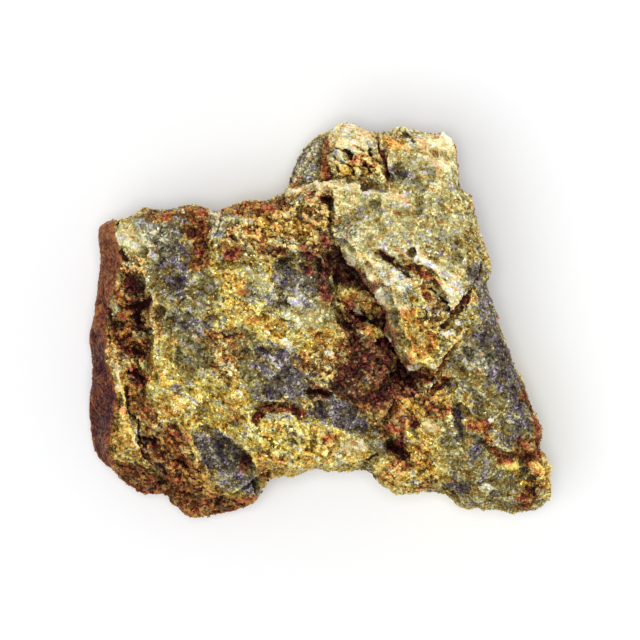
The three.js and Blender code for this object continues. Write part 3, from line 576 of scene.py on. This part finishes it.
# Stretches of the outline that come out a little instead, and that are drawn in twice as far, as strokes
FULL_EDGES = [
    [12, (158, 494), (182, 514), (214, 516)], [10, (548, 472), (550, 488), (540, 504), (520, 508)],
    [9, (522, 388), (534, 408), (539, 430)], [9, (434, 494), (458, 503)], [10, (106, 470), (126, 486), (150, 496)],
]
CUT_EDGES = [[9, (376, 127), (402, 126)], [10, (282, 479), (312, 476)], [7, (480, 512), (490, 512)]]
OUTLINE_EDGE, FULL_SHIFT = 8, 1.5
# Places where the rock is broken into chips, as strokes
RUBBLE = [
    [12, (338, 152), (366, 158), (352, 176)], [16, (220, 222), (262, 226), (310, 222)], [12, (120, 280), (136, 370)],
    [14, (352, 300), (372, 336)], [12, (392, 292), (424, 296), (444, 330)], [14, (270, 440), (340, 448)],
    [12, (400, 380), (430, 396)], [10, (180, 470), (196, 500)],
]
RUBBLE_EDGE, RUBBLE_WANDER = 10, 5
# The ground's soft lumps, as (size and height in mm, salt), and its facets, as (size and height in mm, tilt, salt)
LUMPS = [(3.0, 0.16, 1), (1.5, 0.1, 2)]
CHIPS = [(2.2, 0.24, 0.5, 7)]
GRAINS = [(1.1, 0.2, 0.5, 11), (0.62, 0.12, 0.4, 23)]
# How high chips are on plain ground, and how much rubble adds to chips and grains
CHIPS_PLAIN, CHIPS_IN_RUBBLE, GRAINS_IN_RUBBLE = 0.5, 1.6, 0.5
# Each point is shaken a little to break up the mesh's rows
SHAKE, SHAKE_CELL, SHAKE_SALT = 0.12 * MM, 0.05 * MM, 90

# Where things fade in, by slope or by height above the resting plane. A wall fades out.
FACE_SLOPE, FACE_HEIGHT, WALL_SLOPE = (0.0, 0.3), (5 * MM, 10 * MM), (0.3, 0.8)
SIDE_STAINS_UP, RELIEF_UP = (1 * MM, 4 * MM), (0.05 * MM, 1.2 * MM)
GRAINS_UP, CHIPS_UP = (0.6 * MM, 2 * MM), (1.5 * MM, 4 * MM)
# The shares of grains that the sides keep, and that the brown side and the cracks lose, and of chips off the rubble
GRAINS_ON_SIDES, GRAINS_OFF_FLANK, GRAINS_OFF_CRACKS, CHIPS_OFF_RUBBLE = 0.35, 0.9, 0.9, 0.1
# Painted shade in hollows and painted light on rises, as (easing passes, depth when full), and darkening on the brown
# side, which lightens along its length
FINE_HOLLOWS, BROAD_HOLLOWS, HOLLOW_SHADE = (4, 0.12 * MM), (60, 0.5 * MM), 0.5
FLANK_LIGHTENS, FLANK_DARKENING = (-20 * MM, 12 * MM), 0.3


def chunk_stains(points, on_face):
    """The weight of every stain all over the chunk, and which places lie left of the brown side's edge."""
    face, side = stain_weights(points), side_weights(points)
    weights = {name: on_face * face[name] + (1 - on_face) * side[name] for name in STAINS}
    edge = place(FLANK_EDGE)[::-1]
    inward = np.interp(points[:, 1], edge[:, 1], edge[:, 0]) - points[:, 0]
    left_side = ramp(inward, *FLANK_SEAM)
    half_width, *line = BROWN_WALL
    brown_wall = stroke_weight(wandered(points, BROWN_WALL_WANDER), half_width, BROWN_WALL_EDGE, line)
    for name, weight in (("flank", left_side), ("umber", brown_wall)):
        weights[name] = np.maximum(weights.get(name, 0), weight * ramp(points[:, 2], *SIDE_STAINS_UP))
    return weights, left_side


def ground_relief(points, weights, rubble):
    """How far the ground rises with its lumps, chips and grains, in mm."""
    rough = np.ones(len(points))
    for name, amount in ROUGHNESS_OF.items():
        rough *= 1 + (amount - 1) * weights[name]
    rough *= 1 - FLANK_SMOOTHNESS * weights["flank"]
    lumps = sum(height * smooth_noise(points, size * MM, salt) for size, height, salt in LUMPS)
    chips, grains = (
        sum(height * facets(points, size * MM, tilt, salt) for size, height, tilt, salt in kinds)
        for kinds in (CHIPS, GRAINS))
    chips *= CHIPS_PLAIN + CHIPS_IN_RUBBLE * rubble
    grains *= 1 + GRAINS_IN_RUBBLE * rubble
    return rough * (lumps + chips + grains)


def outline_relief(points, normals, flank):
    """How far the walls come out, in mm."""
    wall = 1 - ramp(np.abs(normals[:, 2]), *WALL_SLOPE)
    full, cut = (strokes_weight(points[:, :2], OUTLINE_EDGE, strokes) for strokes in (FULL_EDGES, CUT_EDGES))
    return OUTLINE_SHIFT * wall * (1 - FULL_SHIFT * full + cut) * (1 - flank) + FLANK_SHIFT * flank


def cut_cracks(relief, points, on_face):
    """Lowers the relief at the cracks, pits and steps, and gives back how dark each place is painted with cracks, as
    painted shade with a dark stain.
    """
    path = wandered(points, CRACK_WANDER)
    crack = np.zeros(len(points))
    for depth, half_width, *line in CRACKS.values():
        weight = stroke_weight(path, half_width * CRACK_FLOOR, half_width * CRACK_EDGE, line) * on_face
        relief -= depth * weight
        crack = np.maximum(crack, weight * min(1, depth / DARK_DEPTH))
    for drop, reach, *line in SCARPS.values():
        relief -= scarp_drop(path, drop, reach, line) * on_face
    return crack


def ore_chunk():
    """The whole chunk as one fine mesh with its grain, and its stains, painted shade and painted light as attributes.
    """
    mesh = fine_mesh()
    edges = read(mesh.edges, "vertices", 2, np.int32)
    points = rounded(read(mesh.vertices, "co", 3).astype(float), edges)
    normals = vertex_normals(mesh, points)
    height = points[:, 2]

    on_face = ramp(normals[:, 2], *FACE_SLOPE) * ramp(height, *FACE_HEIGHT)
    weights, left_side = chunk_stains(points, on_face)
    flank = weights["flank"]
    rubble = strokes_weight(wandered(points, RUBBLE_WANDER), RUBBLE_EDGE, RUBBLE) * on_face
    relief = ground_relief(points, weights, rubble)
    relief += outline_relief(points, normals, flank)
    crack = cut_cracks(relief, points, on_face)

    off_floor = ramp(height, *RELIEF_UP)
    shake = lattice_point(np.round(points / SHAKE_CELL), SHAKE_SALT) - 0.5
    moved = points + normals * (relief * off_floor)[:, None] * MM
    moved += shake * (SHAKE * off_floor)[:, None]
    moved = np.clip(moved, np.array(LOW), np.array(HIGH))
    normals = vertex_normals(mesh, moved)

    # Painted shade: places below their surroundings are painted darker and places above them lighter, and the brown
    # side is darker towards its lower end
    fine, broad = (sunk(moved, normals, edges, passes) / depth for passes, depth in (FINE_HOLLOWS, BROAD_HOLLOWS))
    lower = left_side * (1 - 2 * ramp(moved[:, 1], *FLANK_LIGHTENS))
    attributes = {"stain_" + name: weight for name, weight in weights.items()}
    attributes["crack"] = crack
    attributes["hollow_shade_and_flank_darkening"] = np.clip(fine * HOLLOW_SHADE + broad * HOLLOW_SHADE, -1, 1) + FLANK_DARKENING * lower
    # Painted light and painted shade, with some tone of the rock's own, on the best face
    attributes["tone_and_painted_light"] = tone_and_painted_light(points) * on_face
    attributes["grain_share"] = (
        ramp(height, *GRAINS_UP) * (GRAINS_ON_SIDES + (1 - GRAINS_ON_SIDES) * on_face)
        * (1 - GRAINS_OFF_FLANK * flank) * (1 - GRAINS_OFF_CRACKS * crack))
    attributes["chip_share"] = (
        ramp(height, *CHIPS_UP) * (CHIPS_OFF_RUBBLE + (1 - CHIPS_OFF_RUBBLE) * rubble) * (1 - flank) * (1 - crack))
    for name, values in attributes.items():
        write_attribute(mesh, name, values)
    return new_piece("ore", mesh)


def new_piece(name, mesh):
    piece = bpy.data.objects.new(name, mesh)
    bpy.context.scene.collection.objects.link(piece)
    return piece


# Grains that stand on the surface

class Nodes:
    """A node tree built from calls. add makes any node and gives back its first output, or the one asked for."""

    def __init__(self, tree):
        self.tree = tree

    def add(self, kind, settings=None, values=None, output=0, stops=None):
        node = self.tree.nodes.new(kind)
        for key, value in (settings or {}).items():
            setattr(node, key, value)
        if stops:
            elements = node.color_ramp.elements
            while len(elements) < len(stops):
                elements.new(0)
            for element, (position, colour) in zip(elements, stops):
                element.position, element.color = position, (*colour, 1)
        self.feed(node, values or {})
        return Wire(self, node.outputs[output])

    def feed(self, node, values):
        for key, value in values.items():
            if isinstance(value, Wire):
                self.tree.links.new(value.socket, node.inputs[key])
            else:
                node.inputs[key].default_value = value


def operators(operation):
    """A Python operator and its reflection, each of which adds that Math node."""
    return (lambda wire, other: wire.sum(operation, wire, other),
            lambda wire, other: wire.sum(operation, other, wire))


class Wire:
    """A socket that takes part in Python sums."""

    def __init__(self, nodes, socket):
        self.nodes, self.socket = nodes, socket

    def sum(self, operation, *values):
        return self.nodes.add("ShaderNodeMath", {"operation": operation}, dict(enumerate(values)))

    __add__, __radd__ = operators("ADD")
    __sub__, __rsub__ = operators("SUBTRACT")
    __mul__, __rmul__ = operators("MULTIPLY")


def chip_shape():
    """One angular grain: an octahedron with uneven corners, 2 units across."""
    corners = [(1, 0.1, 0), (-0.9, 0, 0.15), (0.1, 1, 0.1), (0, -0.95, -0.1), (0.15, 0.1, 0.9), (-0.1, -0.1, -1)]
    sides = [(0, 2, 4), (2, 1, 4), (1, 3, 4), (3, 0, 4), (2, 0, 5), (1, 2, 5), (3, 1, 5), (0, 3, 5)]
    mesh = bpy.data.meshes.new("chip_shape")
    mesh.from_pydata(corners, [], sides)
    return new_piece("chip_shape", mesh)


# The Random Value node's sockets for the least and the most of a vector, and its output of a plain number
LEAST, MOST, PLAIN_NUMBER = 0, 1, 1
TURN_SEED, SIZE_SEED = 5, 6


def grain_tree():
    """Strews chips over a surface where its share attribute says, each with its own turn, size and numbers."""
    tree = bpy.data.node_groups.new("strewn_grains", "GeometryNodeTree")
    for name, kind in (
            ("Surface", "Geometry"), ("Chip", "Object"), ("Share", "String"), ("Most per square metre", "Float"),
            ("Smallest", "Float"), ("Largest", "Float"), ("Seed", "Int"), ("Finish", "Material")):
        tree.interface.new_socket(name, in_out="INPUT", socket_type="NodeSocket" + kind)
    tree.interface.new_socket("Grains", in_out="OUTPUT", socket_type="NodeSocketGeometry")
    nodes = Nodes(tree)
    given = tree.nodes.new("NodeGroupInput")
    wire = {item.name: Wire(nodes, item) for item in given.outputs if item.name}

    share = nodes.add("GeometryNodeInputNamedAttribute", {"data_type": "FLOAT"}, {"Name": wire["Share"]})
    points = nodes.add("GeometryNodeDistributePointsOnFaces", None, {
        "Mesh": wire["Surface"], "Density": share * wire["Most per square metre"], "Seed": wire["Seed"]})
    for number, name in enumerate(("grain_tone", "grain_tint")):
        value = nodes.add("FunctionNodeRandomValue", {"data_type": "FLOAT"}, {"Seed": wire["Seed"] + number},
                          output=PLAIN_NUMBER)
        points = nodes.add("GeometryNodeStoreNamedAttribute", {"data_type": "FLOAT", "domain": "POINT"}, {
            "Geometry": points, "Name": name, "Value": value})
    turn = nodes.add("FunctionNodeRandomValue", {"data_type": "FLOAT_VECTOR"}, {
        LEAST: (0, 0, 0), MOST: (math.tau, math.tau, math.tau), "Seed": wire["Seed"] + TURN_SEED})
    small, large = (nodes.add("ShaderNodeCombineXYZ", None, {i: wire[name] for i in range(3)})
                    for name in ("Smallest", "Largest"))
    size = nodes.add("FunctionNodeRandomValue", {"data_type": "FLOAT_VECTOR"}, {
        LEAST: small, MOST: large, "Seed": wire["Seed"] + SIZE_SEED})
    chip = nodes.add("GeometryNodeObjectInfo", None, {"Object": wire["Chip"]}, output="Geometry")
    strewn = nodes.add("GeometryNodeInstanceOnPoints", None, {
        "Points": points, "Instance": chip, "Rotation": turn, "Scale": size})
    whole = nodes.add("GeometryNodeRealizeInstances", None, {"Geometry": strewn})
    finished = nodes.add("GeometryNodeSetMaterial", None, {"Geometry": whole, "Material": wire["Finish"]})
    nodes.feed(tree.nodes.new("NodeGroupOutput"), {"Grains": finished})
    return tree


def strewn(name, surface, tree, **inputs):
    """Grains over the surface as a plain mesh piece of their own."""
    piece = new_piece(name, surface.data.copy())
    modifier = piece.modifiers.new("grains", "NODES")
    modifier.node_group = tree
    given = {item.name: item.identifier for item in tree.interface.items_tree if item.in_out == "INPUT"}
    for label, value in inputs.items():
        modifier[given[label.replace("_", " ")]] = value
    mesh = bpy.data.meshes.new_from_object(piece.evaluated_get(bpy.context.evaluated_depsgraph_get()))
    piece.modifiers.clear()
    piece.data = mesh
    return piece


# Finishes

# The Mix node's sockets for colours, and its output of one
FACTOR, FIRST_COLOUR, SECOND_COLOUR, MIXED_COLOUR = 0, 6, 7, 2


class Finish(Nodes):
    """A material with its shader's sockets to feed."""

    def __init__(self, name):
        self.material = bpy.data.materials.new(name)
        self.material.use_nodes = True
        super().__init__(self.material.node_tree)
        self.shader = self.tree.nodes["Principled BSDF"]

    def step(self, value, low, high):
        """0 below low, 1 above high, smooth between."""
        settings = {"interpolation_type": "SMOOTHSTEP"}
        return self.add("ShaderNodeMapRange", settings, {"Value": value, "From Min": low, "From Max": high})

    def blend(self, factor, first, second, mode="MIX"):
        settings = {"data_type": "RGBA", "blend_type": mode}
        values = {FACTOR: factor, FIRST_COLOUR: first, SECOND_COLOUR: second}
        return self.add("ShaderNodeMix", settings, values, output=MIXED_COLOUR)

    def split(self, colour):
        node = self.tree.nodes.new("ShaderNodeSeparateColor")
        self.feed(node, {"Color": colour})
        return [Wire(self, socket) for socket in node.outputs]

    def attribute(self, name):
        return self.add("ShaderNodeAttribute", {"attribute_name": name}, output="Fac")


def linear(red, green, blue):
    """A colour from screen values of 0 to 255, by the usual curve of screens."""
    return tuple(((v / 255 + 0.055) / 1.055) ** 2.4 if v > 10 else v / 255 / 12.92 for v in (red, green, blue))


# The plain ore as (metal, shift along the tints, tones), and the stains as (metal, shift, how far grains stray over
# the edge, tones), each over those before it. The tones are screen colours from the darkest grain to the brightest.
PLAIN_ORE = (0.35, 0.0, [(68, 30, 8), (124, 90, 28), (156, 132, 54), (188, 172, 86), (244, 238, 170)])
STAIN_LOOKS = {
    "olive": (0.2, 0.0, 0.75, [(62, 34, 20), (98, 80, 36), (118, 102, 50), (142, 128, 70), (194, 184, 124)]),
    "gold": (0.5, -0.05, 0.75, [(108, 56, 0), (164, 132, 8), (194, 172, 28), (220, 202, 62), (255, 246, 160)]),
    "rust": (0.1, -0.2, 0.75, [(66, 18, 4), (126, 70, 22), (162, 112, 44), (204, 167, 86), (252, 234, 164)]),
    "slate": (0.2, 0.2, 0.75, [(44, 16, 40), (76, 56, 60), (96, 80, 76), (120, 106, 98), (188, 178, 160)]),
    "pewter": (0.1, 0.04, 0.75, [(50, 36, 28), (104, 98, 78), (132, 128, 110), (162, 160, 146), (222, 226, 222)]),
    "cream": (0.1, 0.02, 0.75, [(112, 84, 30), (154, 138, 74), (171, 160, 99), (192, 183, 124), (236, 234, 198)]),
    "umber": (0.0, -0.31, 0.4, [(38, 0, 0), (82, 22, 8), (114, 42, 14), (148, 68, 24), (196, 130, 64)]),
    # Dark maroon with painted shade
    "maroon_and_hollow_shade": (0.0, -0.31, 0.4, [(24, 0, 12), (58, 6, 22), (88, 22, 32), (114, 44, 42), (172, 108, 88)]),
    "amber": (0.5, -0.2, 0.45, [(84, 36, 4), (154, 100, 10), (186, 138, 20), (214, 178, 52), (255, 240, 150)]),
    # Pale stone with painted highlights on lit edges
    "pale_and_lit_edges": (0.05, -0.05, 0.35, [(130, 96, 40), (188, 174, 120), (206, 198, 156), (224, 216, 184), (250, 244, 220)]),
    # Near-white, mostly painted highlights and glints
    "white_and_glints": (0.05, 0.04, 0.35, [(140, 122, 80), (190, 184, 154), (212, 212, 198), (230, 232, 228), (254, 254, 254)]),
    "flank": (0.0, -0.4, 0.1, [(58, 24, 36), (88, 44, 46), (114, 60, 40), (136, 74, 36), (162, 102, 62)]),
}
TONE_STOPS = (0.0, 0.26, 0.5, 0.74, 1.0)
STAIN_FADE = (0.15, 0.85)
# Hues of single grains: red, orange, brass, straw, green brass, lavender and violet
TINTS = [(0.0, (0.8, 0.17, 0.13)), (0.16, (0.9, 0.44, 0.08)), (0.34, (0.9, 0.66, 0.13)), (0.5, (0.9, 0.76, 0.42)),
         (0.64, (0.78, 0.8, 0.24)), (0.82, (0.6, 0.6, 0.76)), (1.0, (0.56, 0.36, 0.66))]
TINT_STRENGTH, FLANK_PLAINNESS = 0.56, 0.7
GRAIN, FINE_SIZE, TONE_PATCH, HUE_PATCH = 0.46 * MM, 0.3 * MM, 1.5 * MM, 1.1 * MM
# Patches of like grains are longer down to the right than across
PATCH_TURN = math.radians(-28)
PATCH_STRETCH = (1.6, 0.8, 1.0)
# How much tone, straying and hue follow a grain's own number, patches and the rest
GRAIN_TONE, PATCH_TONE, FINE_TONE, SHADE_AND_DARKENING_TONE = 0.76, 0.6, 0.6, 0.5
GRAIN_STRAY, PATCH_STRAY = 0.8, 1.6
GRAIN_HUE, PATCH_HUE, BASE_HUE = 0.2, 2.6, 0.4
# The painted shade and dark stain of cracks: its colour, strength, straying and fade
CRACK_SHADE_COLOUR, CRACK_STRENGTH, CRACK_STRAY, CRACK_FADE = (48, 10, 10), 0.92, 0.4, (0.25, 0.8)
# Grains above both ranges glint, and are that much less rough
GLINT_TINTS, GLINT_TONES, GLINT_GLOSS = (0.3, 0.45), (0.6, 0.8), 0.3
ROUGHNESS, SPECULAR, BUMP_HEIGHT, BUMP_STRENGTH = 0.6, 0.1, 0.08 * MM, 0.6


def ore_finish(name, own_numbers, lift):
    """Grains of brassy ore under brown, olive, indigo and pale tarnish, with painted shade and painted highlights.
    own_numbers: each grain is its own chip.
    """
    f = Finish(name)
    where = f.add("ShaderNodeTexCoord", output="Object")
    cells = f.add("ShaderNodeTexVoronoi", None, {"Vector": where, "Scale": 1 / GRAIN}, output="Color")
    tone_number, stain_number, tint_number = f.split(cells)
    if own_numbers:
        tone_number, tint_number = f.attribute("grain_tone"), f.attribute("grain_tint")
    fine = f.add("ShaderNodeTexNoise", None, {"Vector": where, "Scale": 1 / FINE_SIZE, "Detail": 2.0})
    along = f.add("ShaderNodeMapping", {"vector_type": "TEXTURE"}, {
        "Vector": where, "Rotation": (0, 0, PATCH_TURN), "Scale": PATCH_STRETCH})
    patch = f.add("ShaderNodeTexNoise", None, {"Vector": along, "Scale": 1 / TONE_PATCH, "Detail": 4.0})
    hue_patch = f.add("ShaderNodeTexNoise", {"noise_dimensions": "4D"}, {
        "Vector": along, "W": 3.0, "Scale": 1 / HUE_PATCH, "Detail": 3.0})

    # Painted shade in hollows, painted light on rises and the brown side's darkening lower or raise the tone
    # The strokes of painted light and shade also raise or lower the tone
    tone = 0.5 + lift + f.attribute("tone_and_painted_light") - f.attribute("hollow_shade_and_flank_darkening") * SHADE_AND_DARKENING_TONE
    tone = tone + (tone_number - 0.5) * GRAIN_TONE + (fine - 0.5) * FINE_TONE + (patch - 0.5) * PATCH_TONE

    def ground(tones):
        stops = list(zip(TONE_STOPS, [linear(*c) for c in tones]))
        return f.add("ShaderNodeValToRGB", None, {"Fac": tone}, stops=stops)

    metal, hue, tones = PLAIN_ORE
    colour = ground(tones)
    mottle = (stain_number - 0.5) * GRAIN_STRAY + (hue_patch - 0.5) * PATCH_STRAY
    for stain, (its_metal, its_hue, stray, tones) in STAIN_LOOKS.items():
        covered = f.step(f.attribute("stain_" + stain) + mottle * stray, *STAIN_FADE)
        colour = f.blend(covered, colour, ground(tones))
        metal = covered * its_metal + (1 - covered) * metal
        hue = covered * its_hue + (1 - covered) * hue
    hue = hue + tint_number * GRAIN_HUE + (hue_patch - 0.5) * PATCH_HUE + BASE_HUE
    tint = f.add("ShaderNodeValToRGB", None, {"Fac": hue}, stops=TINTS)
    plain = 1 - f.attribute("stain_flank") * FLANK_PLAINNESS
    colour = f.blend(plain * TINT_STRENGTH, colour, tint, mode="COLOR")
    # Cracks and pits are painted dark by their depth: painted shade with a dark stain
    cracked = f.step(f.attribute("crack") + mottle * CRACK_STRAY, *CRACK_FADE)
    colour = f.blend(cracked * CRACK_STRENGTH, colour, (*linear(*CRACK_SHADE_COLOUR), 1))

    glint = f.step(tint_number, *GLINT_TINTS) * f.step(tone_number, *GLINT_TONES)
    bump = f.add("ShaderNodeBump", None, {"Height": fine, "Distance": BUMP_HEIGHT, "Strength": BUMP_STRENGTH})
    f.feed(f.shader, {
        "Base Color": colour, "Metallic": metal, "Roughness": ROUGHNESS - glint * GLINT_GLOSS,
        "Specular IOR Level": SPECULAR, "Normal": bump,
    })
    return f.material


PAPER_ROUGHNESS, FIBRE_ROUGHNESS = 0.75, 0.15


def floor_finish():
    f = Finish("white_paper")
    where = f.add("ShaderNodeTexCoord", output="Object")
    fibre = f.add("ShaderNodeTexNoise", None, {"Vector": where, "Scale": 900.0})
    roughness = PAPER_ROUGHNESS + fibre * FIBRE_ROUGHNESS
    f.feed(f.shader, {"Base Color": (0.89, 0.9, 0.91, 1), "Roughness": roughness})
    return f.material


# Stage

FLOOR_SIZE = 1.6
CAMERA_LENS, CAMERA_SENSOR = 400, 36
NEAREST_SEEN, FARTHEST_SEEN = 0.01, 10
FOCUS_HEIGHT = 12 * MM
ROOM_LIGHT = 0.42
# Lamps for the chunk and for the paper, as (name, direction, strength, softness in degrees)
CHUNK_LAMPS = [("key", (-0.5, -0.6, -1.0), 2.6, 16), ("fill", (0.5, 0.55, -0.9), 0.8, 40)]
PAPER_LAMPS = [("paper_lamp", (0.3, 0.26, -1.0), 1.0, 40), ("paper_fill", (0, 0, -1.0), 1.35, 20)]
# Strewn grains, as (name, share attribute, most per square metre, least and most half-width in mm, seed)
GRAIN_LAYERS = [
    ("ore_grains", "grain_share", 2.8e6, 0.12, 0.3, 3), ("fine_grains", "grain_share", 2.8e6, 0.07, 0.2, 31),
    ("rubble_chips", "chip_share", 1.2e6, 0.22, 0.6, 57),
]
GRAINS_LIFT = 0.06


def floor():
    work = bmesh.new()
    bmesh.ops.create_grid(work, x_segments=1, y_segments=1, size=FLOOR_SIZE / 2)
    mesh = bpy.data.meshes.new("floor")
    work.to_mesh(mesh)
    work.free()
    sheet = new_piece("floor", mesh)
    mesh.materials.append(floor_finish())
    return sheet


def camera():
    """Straight above the chunk, so that the picture's width takes the same share of it as in the drawing."""
    data = bpy.data.cameras.new("camera")
    data.lens, data.sensor_width = CAMERA_LENS, CAMERA_SENSOR
    data.clip_start, data.clip_end = NEAREST_SEEN, FARTHEST_SEEN
    eye = new_piece("camera", data)
    x, y = place([PICTURE_MIDDLE])[0]
    width = PICTURE_WIDTH * UNIT
    eye.location = (x, y, FOCUS_HEIGHT + width * CAMERA_LENS / CAMERA_SENSOR)
    bpy.context.scene.camera = eye


def sun(name, direction, strength, softness_degrees, receivers):
    """A soft lamp that shines along a direction on the receivers alone."""
    data = bpy.data.lights.new(name, "SUN")
    data.energy, data.angle = strength, math.radians(softness_degrees)
    lamp = new_piece(name, data)
    lamp.rotation_euler = Vector(direction).to_track_quat("-Z", "Y").to_euler()
    lit = bpy.data.collections.new(name + "_receivers")
    for piece in receivers:
        lit.objects.link(piece)
    lamp.light_linking.receiver_collection = lit


def world():
    room = bpy.data.worlds.new("studio")
    room.use_nodes = True
    background = room.node_tree.nodes["Background"]
    background.inputs["Color"].default_value = (1, 1, 1, 1)
    background.inputs["Strength"].default_value = ROOM_LIGHT
    bpy.context.scene.world = room


ore = ore_chunk()
chip = chip_shape()
tree = grain_tree()
grains_finish = ore_finish("tarnished_grains", True, GRAINS_LIFT)
pieces = [
    strewn(name, ore, tree, Chip=chip, Share=share, Most_per_square_metre=most, Smallest=smallest * MM,
           Largest=largest * MM, Seed=seed, Finish=grains_finish)
    for name, share, most, smallest, largest, seed in GRAIN_LAYERS]
bpy.data.objects.remove(chip)
ore.data.materials.append(ore_finish("tarnished_ore", False, 0.0))
for piece in [ore] + pieces:
    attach(piece, "root")
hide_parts(NODE)

paper = floor()
camera()
world()
for lamps, receivers in ((CHUNK_LAMPS, [ore] + pieces), (PAPER_LAMPS, [paper])):
    for lamp in lamps:
        sun(*lamp, receivers)

bpy.context.scene.view_settings.view_transform = "Standard"
